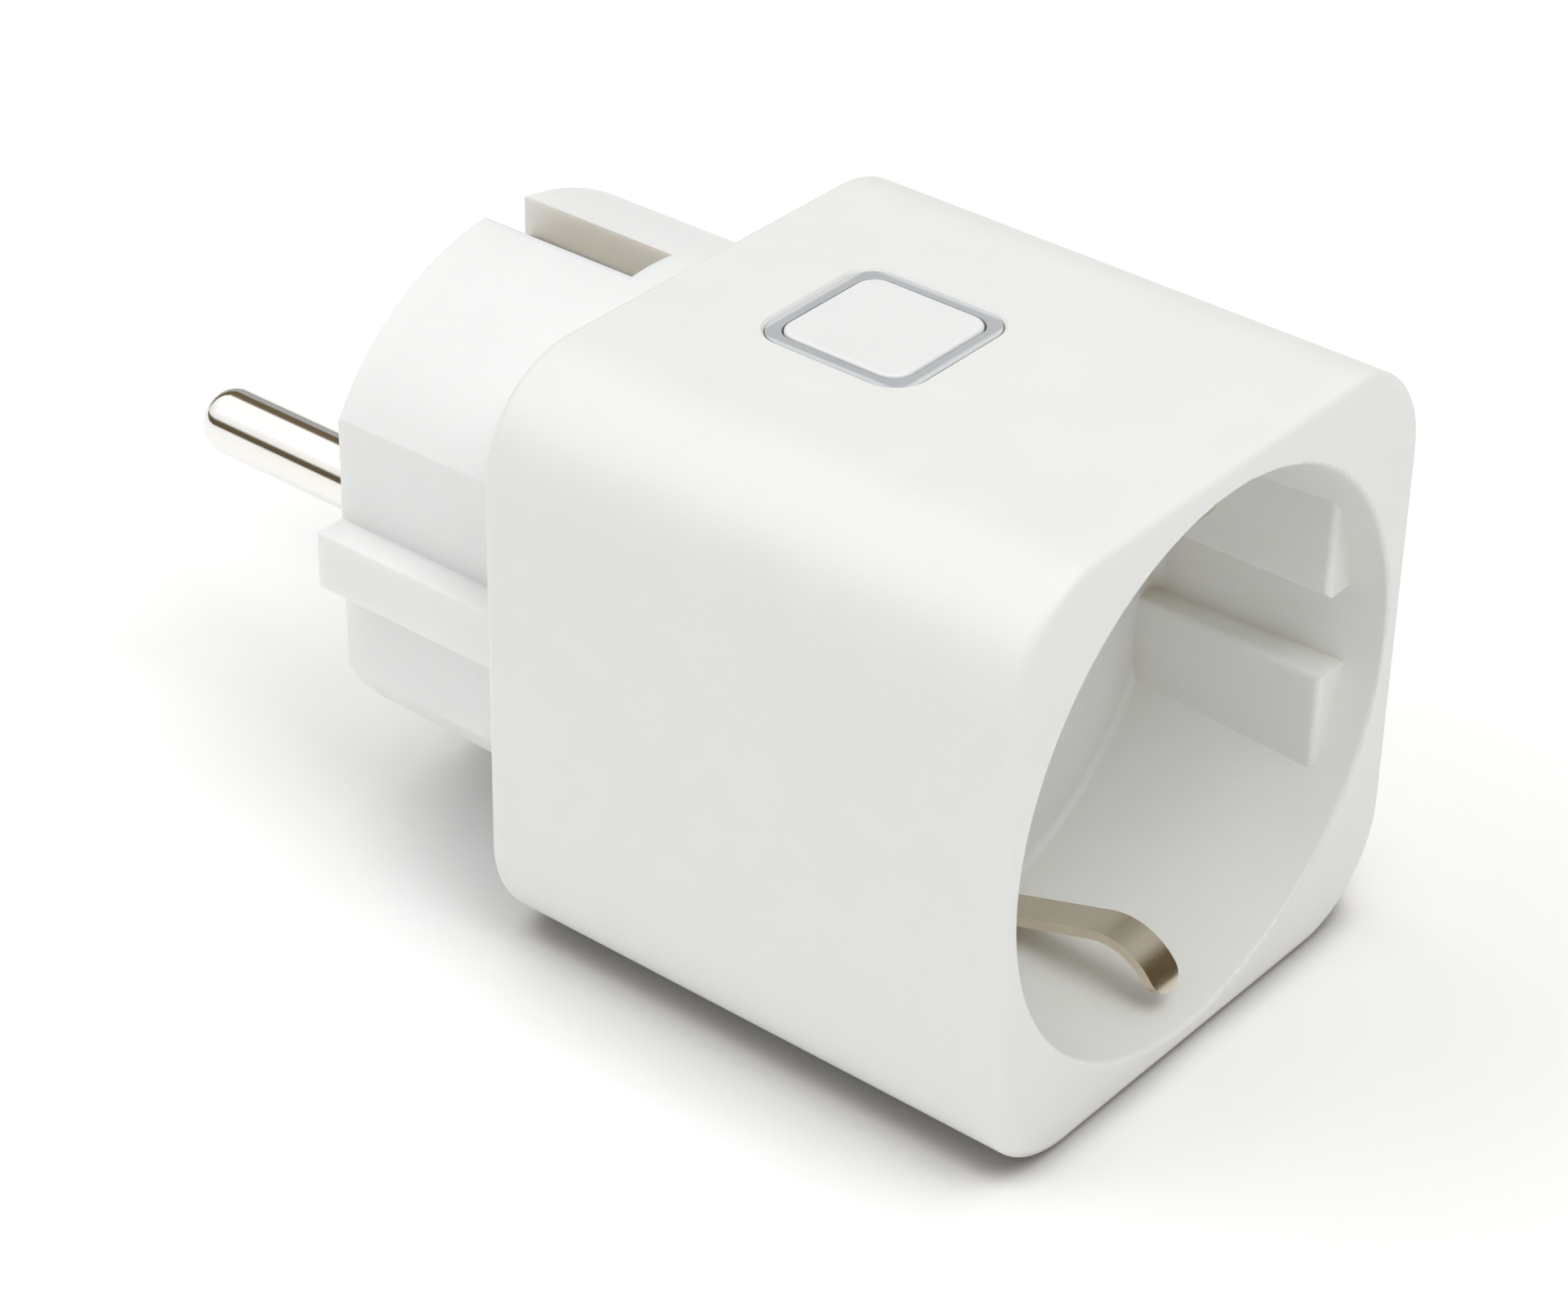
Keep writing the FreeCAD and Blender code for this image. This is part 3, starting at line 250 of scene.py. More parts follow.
def frosted_guide():
    """Smoky polycarbonate with painted light along its thin, polished outer lip."""
    smoke, pale_smoke = (0.440, 0.462, 0.488, 1), (0.485, 0.505, 0.530, 1)
    painted_lip_light, clear_edge = (0.72, 0.74, 0.76, 1), (0.70, 0.74, 0.77, 1)
    lip_start, lip_end = 5.50 * MM, 5.68 * MM
    material, tree, shader, here = new_material("frosted light guide")
    grain = placed(tree, tool_grain, {"Vector": here, "Cell": 0.16 * MM})
    edge = placed(tree, edge_rub, {"Vector": here, "Width": 0.12 * MM}).outputs["Edge"]
    body = tinted(tree, spread(tree, grain.outputs["Drift"], 0.35, 0.65), smoke, pale_smoke)
    low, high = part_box("light_ring")
    apart = step(tree, "ShaderNodeSeparateXYZ", {0: here})
    across = sum_of(tree, "ABSOLUTE", apart.outputs["X"])
    along = sum_of(tree, "ABSOLUTE",
                   sum_of(tree, "SUBTRACT", apart.outputs["Y"], (low[1] + high[1]) / 2))
    reach = sum_of(tree, "MAXIMUM", across, along)
    # The lip's paler tone is painted light, laid on as a band by distance from the key's middle.
    lip = spread(tree, reach, lip_start, lip_end, 0.0, 0.8)
    with_lip_light = tinted(tree, lip, body, painted_lip_light)
    clear = tinted(tree, edge, with_lip_light, clear_edge)
    tree.links.new(clear, shader.inputs["Base Color"])
    tree.links.new(spread(tree, grain.outputs["Height"], 0.3, 0.9, 0.26, 0.36),
                   shader.inputs["Roughness"])
    raised(tree, shader, grain.outputs["Height"], 0.002 * MM)
    shader.inputs["Coat Weight"].default_value = 0.3
    shader.inputs["Coat Roughness"].default_value = 0.12
    shader.inputs["Subsurface Weight"].default_value = 0.2
    shader.inputs["Subsurface Radius"].default_value = (0.7, 0.85, 1.0)
    shader.inputs["Subsurface Scale"].default_value = 0.8 * MM
    return material


dress(frosted_guide(), "light_ring")


# ---------------------------------------------------------------- plug pins
# Two brass pins, turned with a domed tip and a collar behind the plug face, then nickel plated
# and burnished.  Turning leaves rings too fine to see singly, and sockets scratch them
# lengthwise.

def make_fine_lines():
    """Lines much longer than they are wide: the vector is squeezed along each axis first."""
    group, given, result = new_group(
        "fine lines", "ShaderNodeTree",
        [("Vector", "NodeSocketVector", None), ("Density", "NodeSocketVector", (1, 1, 1)),
         ("Detail", "NodeSocketFloat", 3.0)],
        [("Height", "NodeSocketFloat"), ("Streak", "NodeSocketFloat")])
    squeezed = step(group, "ShaderNodeVectorMath", {0: given.outputs["Vector"],
                                                    1: given.outputs["Density"]},
                    operation="MULTIPLY").outputs[0]
    lines = step(group, "ShaderNodeTexNoise", {"Vector": squeezed, "Scale": 1.0,
                                               "Detail": given.outputs["Detail"],
                                               "Roughness": 0.7})
    streaks = spread(group, lines.outputs[0], 0.52, 0.72)
    group.links.new(lines.outputs[0], result.inputs["Height"])
    group.links.new(streaks, result.inputs["Streak"])
    return group


def metal(name, colour, worn, roughness, density, depth=0.0015 * MM, tarnish=0.12):
    """A rolled, drawn or turned metal: fine lines, tarnish in patches, and worn edges."""
    material, tree, shader, here = new_material(name)
    lines = placed(tree, fine_lines, {"Vector": here, "Density": density})
    edge = placed(tree, edge_rub, {"Vector": here, "Width": 0.15 * MM}).outputs["Edge"]
    patches = step(tree, "ShaderNodeTexNoise", {"Vector": here, "Scale": 420.0, "Detail": 4.0})
    dull = spread(tree, patches.outputs[0], 0.45, 0.75, 0.0, tarnish)
    darker = [part * 0.72 for part in colour]
    body = tinted(tree, dull, (*colour, 1), (*darker, 1))
    streaky = tinted(tree, sum_of(tree, "MULTIPLY", lines.outputs["Streak"], 0.18), body,
                     (*[min(part * 1.08, 0.95) for part in colour], 1))
    tree.links.new(tinted(tree, edge, streaky, (*worn, 1)), shader.inputs["Base Color"])
    tree.links.new(spread(tree, lines.outputs["Height"], 0.3, 0.7, roughness - 0.03,
                          roughness + 0.05), shader.inputs["Roughness"])
    raised(tree, shader, lines.outputs["Height"], depth)
    shader.inputs["Metallic"].default_value = 1.0
    return material


fine_lines = make_fine_lines()

burnished_nickel = metal("burnished nickel plate", (0.90, 0.885, 0.85), (0.93, 0.90, 0.84), 0.09,
                         (2600, 9000, 2600), depth=0.0004 * MM, tarnish=0.05)
dress(burnished_nickel, "line_pin", "neutral_pin")


# ---------------------------------------------------------------- earth contacts
# The socket clip, the plug strap and the round earth sleeve are bent from thin spring brass
# strip.  A thin nickel flash lets the brass warm it, and bare brass shows along the cut edges;
# on the strap, which sockets scrape, it is worn away.

nickel_flash = metal("nickel flashed strip", (0.66, 0.60, 0.48), (0.80, 0.68, 0.45), 0.19,
                     (1500, 260, 5200), depth=0.0008 * MM, tarnish=0.15)
dress(nickel_flash, "socket_earth_clip", "earth_pin_sleeve")
worn_brass = metal("worn strap brass", (0.50, 0.40, 0.22), (0.66, 0.52, 0.28), 0.3,
                   (1500, 260, 5200), depth=0.0012 * MM, tarnish=0.35)
dress(worn_brass, "plug_earth_strap")


# ---------------------------------------------------------------- socket contacts and earth link
# Behind the pin holes each appliance pin enters a slit sleeve rolled from phosphor bronze, and
# a brass strip joins the two earth contacts along the case's bottom.

bright_brass = metal("rolled brass", (0.82, 0.60, 0.28), (0.90, 0.72, 0.40), 0.26,
                     (3600, 700, 3600), tarnish=0.4)
dress(bright_brass, "line_socket_contact", "neutral_socket_contact", "earth_link")


# ---------------------------------------------------------------- contact carrier
# A plate of dark glass-filled nylon that holds the two sleeves, with pegs that stand on the
# recess floor's back.  Its surface is matt, and stray fibres show as pale flecks.

def glass_filled(name, colour, fleck):
    """A matt moulding with stray pale fibres."""
    material, tree, shader, here = new_material(name)
    grain = placed(tree, tool_grain, {"Vector": here, "Cell": 0.22 * MM})
    fibres = placed(tree, fine_lines, {"Vector": here, "Density": (9000, 1400, 9000)})
    seen = sum_of(tree, "MULTIPLY", fibres.outputs["Streak"], 0.35)
    tree.links.new(tinted(tree, seen, (*colour, 1), (*fleck, 1)), shader.inputs["Base Color"])
    tree.links.new(spread(tree, grain.outputs["Drift"], 0.3, 0.7, 0.55, 0.68),
                   shader.inputs["Roughness"])
    raised(tree, shader, grain.outputs["Height"], 0.006 * MM)
    return material


dress(glass_filled("dark glass-filled nylon", (0.035, 0.037, 0.04), (0.12, 0.12, 0.12)),
      "contact_carrier")


# ---------------------------------------------------------------- child shutter
# A turning bar of slippery acetal that covers both pin holes until two pins press its ramps
# together.  A coil of drawn steel wire round its pivot turns it back.

acetal = moulded("ivory acetal", (0.80, 0.79, 0.75), (0.77, 0.76, 0.72), 0.30, cell=0.35 * MM,
                 depth=0.002 * MM, glow=0.1)
dress(acetal, "child_shutter")

spring_wire = metal("drawn spring wire", (0.62, 0.62, 0.64), (0.80, 0.80, 0.80), 0.22,
                    (4200, 900, 4200), tarnish=0.15)
dress(spring_wire, "shutter_spring")


# ---------------------------------------------------------------- bus bars and relay contacts
# Flat copper strip carries the load current from the pins' tails to the power board, and the
# relay's blade and fixed contact are the same strip, tinned only where they are soldered.

strip_copper = metal("rolled copper strip", (0.86, 0.48, 0.30), (0.93, 0.62, 0.42), 0.28,
                     (900, 5200, 900), tarnish=0.45)
dress(strip_copper, "line_bus_bar", "neutral_bus_bar", "relay_contact_blade",
      "relay_fixed_contact")


# ---------------------------------------------------------------- circuit boards
# Two glass-epoxy boards under green solder mask.  Copper tracks stand up a little under the
# mask, and small plated holes pass between the sides.

def solder_mask():
    """Green mask over copper tracks, with plated holes."""
    mask_green, pale_mask = (0.012, 0.085, 0.035, 1), (0.018, 0.110, 0.045, 1)
    green_over_copper, gold_plating = (0.035, 0.190, 0.075, 1), (0.62, 0.50, 0.26, 1)
    material, tree, shader, here = new_material("green solder mask")
    tracks = step(tree, "ShaderNodeTexVoronoi", {"Vector": here, "Scale": 420.0},
                  feature="DISTANCE_TO_EDGE")
    copper = spread(tree, tracks.outputs["Distance"], 0.16, 0.10)
    holes = step(tree, "ShaderNodeTexVoronoi", {"Vector": here, "Scale": 300.0,
                                                "Randomness": 0.7})
    plated_hole = spread(tree, holes.outputs["Distance"], 0.14, 0.12)
    weave = placed(tree, tool_grain, {"Vector": here, "Cell": 0.4 * MM})
    mask = tinted(tree, spread(tree, weave.outputs["Drift"], 0.3, 0.7), mask_green, pale_mask)
    over_track = tinted(tree, copper, mask, green_over_copper)
    tree.links.new(tinted(tree, plated_hole, over_track, gold_plating),
                   shader.inputs["Base Color"])
    tree.links.new(plated_hole, shader.inputs["Metallic"])
    tree.links.new(spread(tree, weave.outputs["Height"], 0.3, 0.9, 0.20, 0.34),
                   shader.inputs["Roughness"])
    raised(tree, shader, copper, 0.03 * MM)
    return material


dress(solder_mask(), "power_board", "control_board")


# ---------------------------------------------------------------- solder joints
# Every leg that passes through the power board ends in a small bright cone of solder on its
# far side.  The legs stand where the parts' boxes say, and all joints are one repeated shape.

def grown(name, tree, values, points=()):
    """Run a geometry tree on a few points and keep its result as a plain mesh."""
    mesh = bpy.data.meshes.new(name)
    mesh.from_pydata([tuple(point) for point in points], [], [])
    piece = bpy.data.objects.new(name, mesh)
    bpy.context.scene.collection.objects.link(piece)
    growth = piece.modifiers.new("growth", "NODES")
    growth.node_group = tree
    for item in tree.interface.items_tree:
        if item.name in values:
            growth[item.identifier] = values[item.name]
    bpy.context.view_layer.update()
    result = bpy.data.meshes.new_from_object(
        piece.evaluated_get(bpy.context.evaluated_depsgraph_get()))
    piece.modifiers.remove(growth)
    piece.data = result
    return piece


def ended(tree, last, material, result):
    """The end that each tree shares: real geometry, smooth faces and the piece's material."""
    real = step(tree, "GeometryNodeRealizeInstances", {0: last})
    smooth = step(tree, "GeometryNodeSetShadeSmooth", {"Geometry": real.outputs[0]})
    coated = step(tree, "GeometryNodeSetMaterial", {"Geometry": smooth.outputs[0],
                                                    "Material": material})
    tree.links.new(coated.outputs[0], result.inputs[0])


def solder_joint_tree():
    """A fillet of solder on each point, round the end of a leg."""
    tree, given, result = new_group(
        "solder joints", "GeometryNodeTree",
        [("Points", "NodeSocketGeometry", None), ("Foot", "NodeSocketFloat", 0.9 * MM),
         ("Tip", "NodeSocketFloat", 0.28 * MM), ("Rise", "NodeSocketFloat", 0.9 * MM),
         ("Turn", "NodeSocketVector", (0, 0, 0)), ("Solder", "NodeSocketMaterial", None)],
        [("Joints", "NodeSocketGeometry")])
    foot, tip, rise = (given.outputs[name] for name in ("Foot", "Tip", "Rise"))
    skirt = step(tree, "GeometryNodeMeshCone", {
        "Vertices": 16, "Side Segments": 1, "Radius Top": sum_of(tree, "MULTIPLY", foot, 0.62),
        "Radius Bottom": foot, "Depth": sum_of(tree, "MULTIPLY", rise, 0.3)})
    neck = step(tree, "GeometryNodeMeshCone", {
        "Vertices": 16, "Side Segments": 1, "Radius Top": tip,
        "Radius Bottom": sum_of(tree, "MULTIPLY", foot, 0.62), "Depth": rise})
    both = step(tree, "GeometryNodeJoinGeometry")
    for shape in (skirt, neck):
        tree.links.new(shape.outputs["Mesh"], both.inputs[0])
    size = step(tree, "FunctionNodeRandomValue", {2: 0.88, 3: 1.08, "Seed": 4}, data_type="FLOAT")
    spots = step(tree, "GeometryNodeInstanceOnPoints", {
        "Points": given.outputs["Points"], "Instance": both.outputs[0],
        "Rotation": given.outputs["Turn"], "Scale": size.outputs[1]})
    ended(tree, spots.outputs[0], given.outputs["Solder"], result)
    return tree


def middle_of(node):
    """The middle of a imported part's box."""
    low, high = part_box(node)
    return (low + high) / 2


tin_solder = metal("tin solder", (0.74, 0.74, 0.75), (0.82, 0.82, 0.82), 0.20,
                   (1400, 1400, 1400), depth=0.004 * MM, tarnish=0.2)
board_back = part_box("power_board")[1].y

leg_places = []
for node, reach in (("smoothing_capacitor", 1.75 * MM), ("suppression_capacitor", 5.0 * MM)):
    centre = middle_of(node)
    leg_places += [Vector((centre.x + side * reach, board_back, centre.z)) for side in (1, -1)]
varistor_leg_x = -15.0 * MM
varistor_leg_reach = 2.0 * MM
leg_places += [Vector((varistor_leg_x, board_back,
                       middle_of("varistor").z + side * varistor_leg_reach))
               for side in (1, -1)]
header_pins = 6
pin_pitch = 2.54 * MM
pin_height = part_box("board_header")[0].z + 1.2 * MM
leg_places += [Vector(((place - (header_pins - 1) / 2) * pin_pitch, board_back, pin_height))
               for place in range(header_pins)]

joints = grown("power_board_solder_joints", solder_joint_tree(),
               {"Turn": (-math.pi / 2, 0, 0), "Solder": tin_solder}, leg_places)
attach(joints, "case")


# ---------------------------------------------------------------- chip parts on the boards
# Chip resistors and capacitors stand in rows on both boards: a dark or tan ceramic body between
# two tinned ends.  One row shape is repeated, with a few places left empty.

def chip_row_tree():
    """A grid of tiny two-ended parts, some of them left out by a fixed seed."""
    tree, given, result = new_group(
        "chip parts", "GeometryNodeTree",
        [("Centre", "NodeSocketVector", (0, 0, 0)), ("Turn", "NodeSocketVector", (0, 0, 0)),
         ("Columns", "NodeSocketInt", 3), ("Rows", "NodeSocketInt", 4),
         ("Pitch", "NodeSocketFloat", 2.4 * MM), ("Length", "NodeSocketFloat", 1.6 * MM),
         ("Kept", "NodeSocketFloat", 0.8), ("Seed", "NodeSocketInt", 3),
         ("Body", "NodeSocketMaterial", None), ("Ends", "NodeSocketMaterial", None)],
        [("Parts", "NodeSocketGeometry")])
    length = given.outputs["Length"]
    width = sum_of(tree, "MULTIPLY", length, 0.5)
    height = sum_of(tree, "MULTIPLY", length, 0.3)
    span = [sum_of(tree, "MULTIPLY", given.outputs["Pitch"],
                   sum_of(tree, "SUBTRACT", given.outputs[count], 1.0))
            for count in ("Columns", "Rows")]
    grid = step(tree, "GeometryNodeMeshGrid", {
        "Size X": span[0], "Size Y": span[1], "Vertices X": given.outputs["Columns"],
        "Vertices Y": given.outputs["Rows"]})
    chance = step(tree, "FunctionNodeRandomValue", {2: 0.0, 3: 1.0, "Seed": given.outputs["Seed"]},
                  data_type="FLOAT")
    gone = sum_of(tree, "GREATER_THAN", chance.outputs[1], given.outputs["Kept"])
    kept = step(tree, "GeometryNodeDeleteGeometry", {"Geometry": grid.outputs["Mesh"],
                                                     "Selection": gone}, domain="POINT")
    parts = step(tree, "GeometryNodeJoinGeometry")
    body_size = step(tree, "ShaderNodeCombineXYZ", {"X": sum_of(tree, "MULTIPLY", length, 0.62),
                                                    "Y": width, "Z": height})
    body = step(tree, "GeometryNodeMeshCube", {"Size": body_size.outputs[0], "Vertices X": 3})
    coated = step(tree, "GeometryNodeSetMaterial", {"Geometry": body.outputs["Mesh"],
                                                    "Material": given.outputs["Body"]})
    tree.links.new(coated.outputs[0], parts.inputs[0])
    end_size = step(tree, "ShaderNodeCombineXYZ", {"X": sum_of(tree, "MULTIPLY", length, 0.2),
                                                   "Y": sum_of(tree, "MULTIPLY", width, 1.04),
                                                   "Z": sum_of(tree, "MULTIPLY", height, 1.08)})
    for side in (1, -1):
        end = step(tree, "GeometryNodeMeshCube", {"Size": end_size.outputs[0]})
        offset = step(tree, "ShaderNodeCombineXYZ",
                      {"X": sum_of(tree, "MULTIPLY", length, 0.4 * side)})
        moved = step(tree, "GeometryNodeTransform", {"Geometry": end.outputs["Mesh"],
                                                     "Translation": offset.outputs[0]})
        tinned = step(tree, "GeometryNodeSetMaterial", {"Geometry": moved.outputs[0],
                                                        "Material": given.outputs["Ends"]})
        tree.links.new(tinned.outputs[0], parts.inputs[0])
    rows = step(tree, "GeometryNodeInstanceOnPoints", {"Points": kept.outputs[0],
                                                       "Instance": parts.outputs[0]})
    stood = step(tree, "GeometryNodeTransform", {
        "Geometry": rows.outputs[0], "Translation": given.outputs["Centre"],
        "Rotation": given.outputs["Turn"]})
    real = step(tree, "GeometryNodeRealizeInstances", {0: stood.outputs[0]})
    tree.links.new(real.outputs[0], result.inputs[0])
    return tree


chip_ceramic = glass_filled("chip ceramic", (0.16, 0.12, 0.085), (0.30, 0.24, 0.17))
chip_tree = chip_row_tree()
chip_length = 1.6 * MM
chip_stand = 0.16 * chip_length
control_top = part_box("control_board")[1].z
level_chips = grown("control_board_chip_parts", chip_tree, {
    "Centre": (9.4 * MM, middle_of("control_board").y, control_top + chip_stand),
    "Columns": 2, "Rows": 5, "Pitch": 2.3 * MM, "Seed": 3, "Body": chip_ceramic,
    "Ends": tin_solder})
upright_chips = grown("power_board_chip_parts", chip_tree, {
    "Centre": (5.2 * MM, board_back + chip_stand, middle_of("power_board").z - 8.0 * MM),
    "Turn": (-math.pi / 2, 0, 0), "Columns": 3, "Rows": 5, "Pitch": 2.2 * MM, "Seed": 8,
    "Body": chip_ceramic, "Ends": tin_solder})
for chips in (level_chips, upright_chips):
    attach(chips, "case")


# ---------------------------------------------------------------- header, chip and switch
# Black moulded parts: epoxy over the metering chip, and glass-filled plastic in the header that
# joins the boards, in the push switch under the key and in the relay's base.

black_epoxy = glass_filled("black moulding compound", (0.012, 0.012, 0.013), (0.05, 0.05, 0.05))
dress(black_epoxy, "board_header", "metering_chip", "tact_switch", "relay_base")

dress(moulded("dark push plunger", (0.07, 0.07, 0.075), (0.06, 0.06, 0.065), 0.40),
      "tact_plunger")


# ---------------------------------------------------------------- radio module
# A small board under a tinned shield can.  Half-round plated pads along its two long edges are
# soldered to the control board.

def edge_pad_tree():
    """A line of short upright studs, one for each pad of the module."""
    tree, given, result = new_group(
        "edge pads", "GeometryNodeTree",
        [("Start", "NodeSocketVector", (0, 0, 0)), ("Pitch", "NodeSocketFloat", 1.27 * MM),
         ("Count", "NodeSocketInt", 9), ("Pad radius", "NodeSocketFloat", 0.32 * MM),
         ("Pad height", "NodeSocketFloat", 0.7 * MM), ("Gap", "NodeSocketFloat", 5.0 * MM),
         ("Plating", "NodeSocketMaterial", None)],
        [("Pads", "NodeSocketGeometry")])
    stride = step(tree, "ShaderNodeCombineXYZ", {"Y": given.outputs["Pitch"]})
    line = step(tree, "GeometryNodeMeshLine", {"Count": given.outputs["Count"],
                                               "Start Location": given.outputs["Start"],
                                               "Offset": stride.outputs[0]})
    across = step(tree, "ShaderNodeCombineXYZ", {"X": given.outputs["Gap"]})
    other = step(tree, "GeometryNodeTransform", {"Geometry": line.outputs[0],
                                                 "Translation": across.outputs[0]})
    both = step(tree, "GeometryNodeJoinGeometry")
    for row in (line, other):
        tree.links.new(row.outputs[0], both.inputs[0])
    pad = step(tree, "GeometryNodeMeshCylinder", {"Vertices": 12,
                                                  "Radius": given.outputs["Pad radius"],
                                                  "Depth": given.outputs["Pad height"]})
    pads = step(tree, "GeometryNodeInstanceOnPoints", {"Points": both.outputs[0],
                                                       "Instance": pad.outputs["Mesh"]})
    ended(tree, pads.outputs[0], given.outputs["Plating"], result)
    return tree


shield_tin = metal("tinned shield steel", (0.66, 0.67, 0.68), (0.80, 0.80, 0.80), 0.32,
                   (5200, 700, 5200), tarnish=0.25)
dress(shield_tin, "radio_module")

module_low, module_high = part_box("radio_module")
pad_pitch = 1.27 * MM
pad_count = 9
first_pad = (module_low.y + module_high.y - (pad_count - 1) * pad_pitch) / 2
module_pads = grown("radio_module_edge_pads", edge_pad_tree(), {
    "Start": (module_low.x, first_pad, module_low.z + 0.35 * MM), "Pitch": pad_pitch,
    "Count": pad_count, "Gap": module_high.x - module_low.x, "Plating": tin_solder})
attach(module_pads, "case")


# ---------------------------------------------------------------- status lights
# Four small light chips shine into the ring, one under each of its sides.  Each is a block
# under a dome, both of resin filled with yellowish phosphor.

def phosphor_lens():
    """Glossy resin filled with yellowish phosphor."""
    phosphor, pale_phosphor = (0.80, 0.70, 0.30, 1), (0.88, 0.80, 0.42, 1)
    material, tree, shader, here = new_material("phosphor lens")
    grain = placed(tree, tool_grain, {"Vector": here, "Cell": 0.12 * MM})
    tree.links.new(tinted(tree, spread(tree, grain.outputs["Height"], 0.4, 0.8), phosphor,
                          pale_phosphor), shader.inputs["Base Color"])
    tree.links.new(spread(tree, grain.outputs["Drift"], 0.3, 0.7, 0.10, 0.18),
                   shader.inputs["Roughness"])
    shader.inputs["Coat Weight"].default_value = 0.6
    return material


def dome_tree():
    """A dome of resin on each point."""
    tree, given, result = new_group(
        "lens domes", "GeometryNodeTree",
        [("Points", "NodeSocketGeometry", None), ("Dome radius", "NodeSocketFloat", 0.42 * MM),
         ("Lens", "NodeSocketMaterial", None)],
        [("Domes", "NodeSocketGeometry")])
    ball = step(tree, "GeometryNodeMeshUVSphere", {"Segments": 24, "Rings": 12,
                                                   "Radius": given.outputs["Dome radius"]})
    domes = step(tree, "GeometryNodeInstanceOnPoints", {"Points": given.outputs["Points"],
                                                        "Instance": ball.outputs["Mesh"]})
    ended(tree, domes.outputs[0], given.outputs["Lens"], result)
    return tree


lens = phosphor_lens()
dress(lens, "status_lights")
key_middle = middle_of("power_button")
lights_low, lights_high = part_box("status_lights")
chip_half = 0.5 * MM
light_reach = (lights_high.x - lights_low.x) / 2 - chip_half
light_tops = [Vector((key_middle.x + x * light_reach, key_middle.y + y * light_reach,
                      lights_high.z)) for x, y in ((1, 0), (-1, 0), (0, 1), (0, -1))]
domes = grown("status_light_domes", dome_tree(), {"Lens": lens}, light_tops)
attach(domes, "case")


# ---------------------------------------------------------------- capacitors, varistor and fuse
# The supply's parts: a film capacitor in a glossy yellow box, an electrolytic can in a dark
# shrink sleeve, a blue dipped varistor disc, and a ceramic fuse between two plated caps.

def film_box():
    """A glossy yellow plastic box with slightly rubbed edges."""
    yellow, bright_yellow, rubbed_yellow = ((0.62, 0.38, 0.03, 1), (0.68, 0.43, 0.05, 1),
                                            (0.8, 0.6, 0.2, 1))
    material, tree, shader, here = new_material("yellow film case")
    grain = placed(tree, tool_grain, {"Vector": here, "Cell": 0.3 * MM})
    edge = placed(tree, edge_rub, {"Vector": here, "Width": 0.3 * MM}).outputs["Edge"]
    body = tinted(tree, spread(tree, grain.outputs["Drift"], 0.3, 0.7), yellow, bright_yellow)
    tree.links.new(tinted(tree, sum_of(tree, "MULTIPLY", edge, 0.4), body, rubbed_yellow),
                   shader.inputs["Base Color"])
    tree.links.new(spread(tree, grain.outputs["Height"], 0.3, 0.9, 0.24, 0.32),
                   shader.inputs["Roughness"])
    raised(tree, shader, grain.outputs["Height"], 0.003 * MM)
    return material


def shrink_sleeve(top):
    """A plain dark sleeve, open over the can's bare aluminium end."""
    bare_from, bare_to = top + 0.62 * MM, top + 0.58 * MM
    material, tree, shader, here = new_material("shrink sleeve over aluminium")
    along = step(tree, "ShaderNodeSeparateXYZ", {0: here}).outputs["Y"]
    bare = spread(tree, along, bare_from, bare_to)
    grain = placed(tree, tool_grain, {"Vector": here, "Cell": 0.3 * MM})
    film = tinted(tree, grain.outputs["Drift"], (0.012, 0.012, 0.018, 1), (0.03, 0.03, 0.045, 1))
    tree.links.new(tinted(tree, bare, film, (0.80, 0.81, 0.82, 1)), shader.inputs["Base Color"])
    tree.links.new(bare, shader.inputs["Metallic"])
    tree.links.new(spread(tree, grain.outputs["Height"], 0.3, 0.9, 0.22, 0.34),
                   shader.inputs["Roughness"])
    raised(tree, shader, grain.outputs["Height"], 0.003 * MM)
    return material


def capped_ceramic(low, high, cap):
    """White ceramic between two nickel caps at the fuse's ends."""
    material, tree, shader, here = new_material("ceramic fuse body")
    along = step(tree, "ShaderNodeSeparateXYZ", {0: here}).outputs["Y"]
    middle, body_half = (low + high) / 2, (high - low) / 2 - cap
    away = sum_of(tree, "ABSOLUTE", sum_of(tree, "SUBTRACT", along, middle))
    capped = spread(tree, away, body_half - 0.02 * MM, body_half)
    grain = placed(tree, tool_grain, {"Vector": here, "Cell": 0.2 * MM})
    body = tinted(tree, grain.outputs["Drift"], (0.72, 0.71, 0.67, 1), (0.80, 0.79, 0.76, 1))
    tree.links.new(tinted(tree, capped, body, (0.74, 0.73, 0.70, 1)), shader.inputs["Base Color"])
    tree.links.new(capped, shader.inputs["Metallic"])
    tree.links.new(spread(tree, grain.outputs["Height"], 0.3, 0.9, 0.24, 0.38),
                   shader.inputs["Roughness"])
    raised(tree, shader, grain.outputs["Height"], 0.004 * MM)
    return material


dress(film_box(), "suppression_capacitor")
dress(shrink_sleeve(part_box("smoothing_capacitor")[0].y), "smoothing_capacitor")
dress(moulded("blue dipped coating", (0.02, 0.12, 0.40), (0.015, 0.09, 0.33), 0.28,
              cell=0.8 * MM, depth=0.02 * MM), "varistor")
fuse_low, fuse_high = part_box("safety_fuse")
fuse_cap = 2.5 * MM
dress(capped_ceramic(fuse_low.y, fuse_high.y, fuse_cap), "safety_fuse")

shunt_strip = metal("resistance alloy strip", (0.60, 0.55, 0.48), (0.72, 0.66, 0.58), 0.30,
                    (700, 5200, 700), tarnish=0.35)
dress(shunt_strip, "current_shunt")


# ---------------------------------------------------------------- relay and coils
# Both coils are enamelled copper wire wound in close turns on a bobbin.  The relay's yoke and
# armature are zinc-plated soft iron under a thin blue cover.

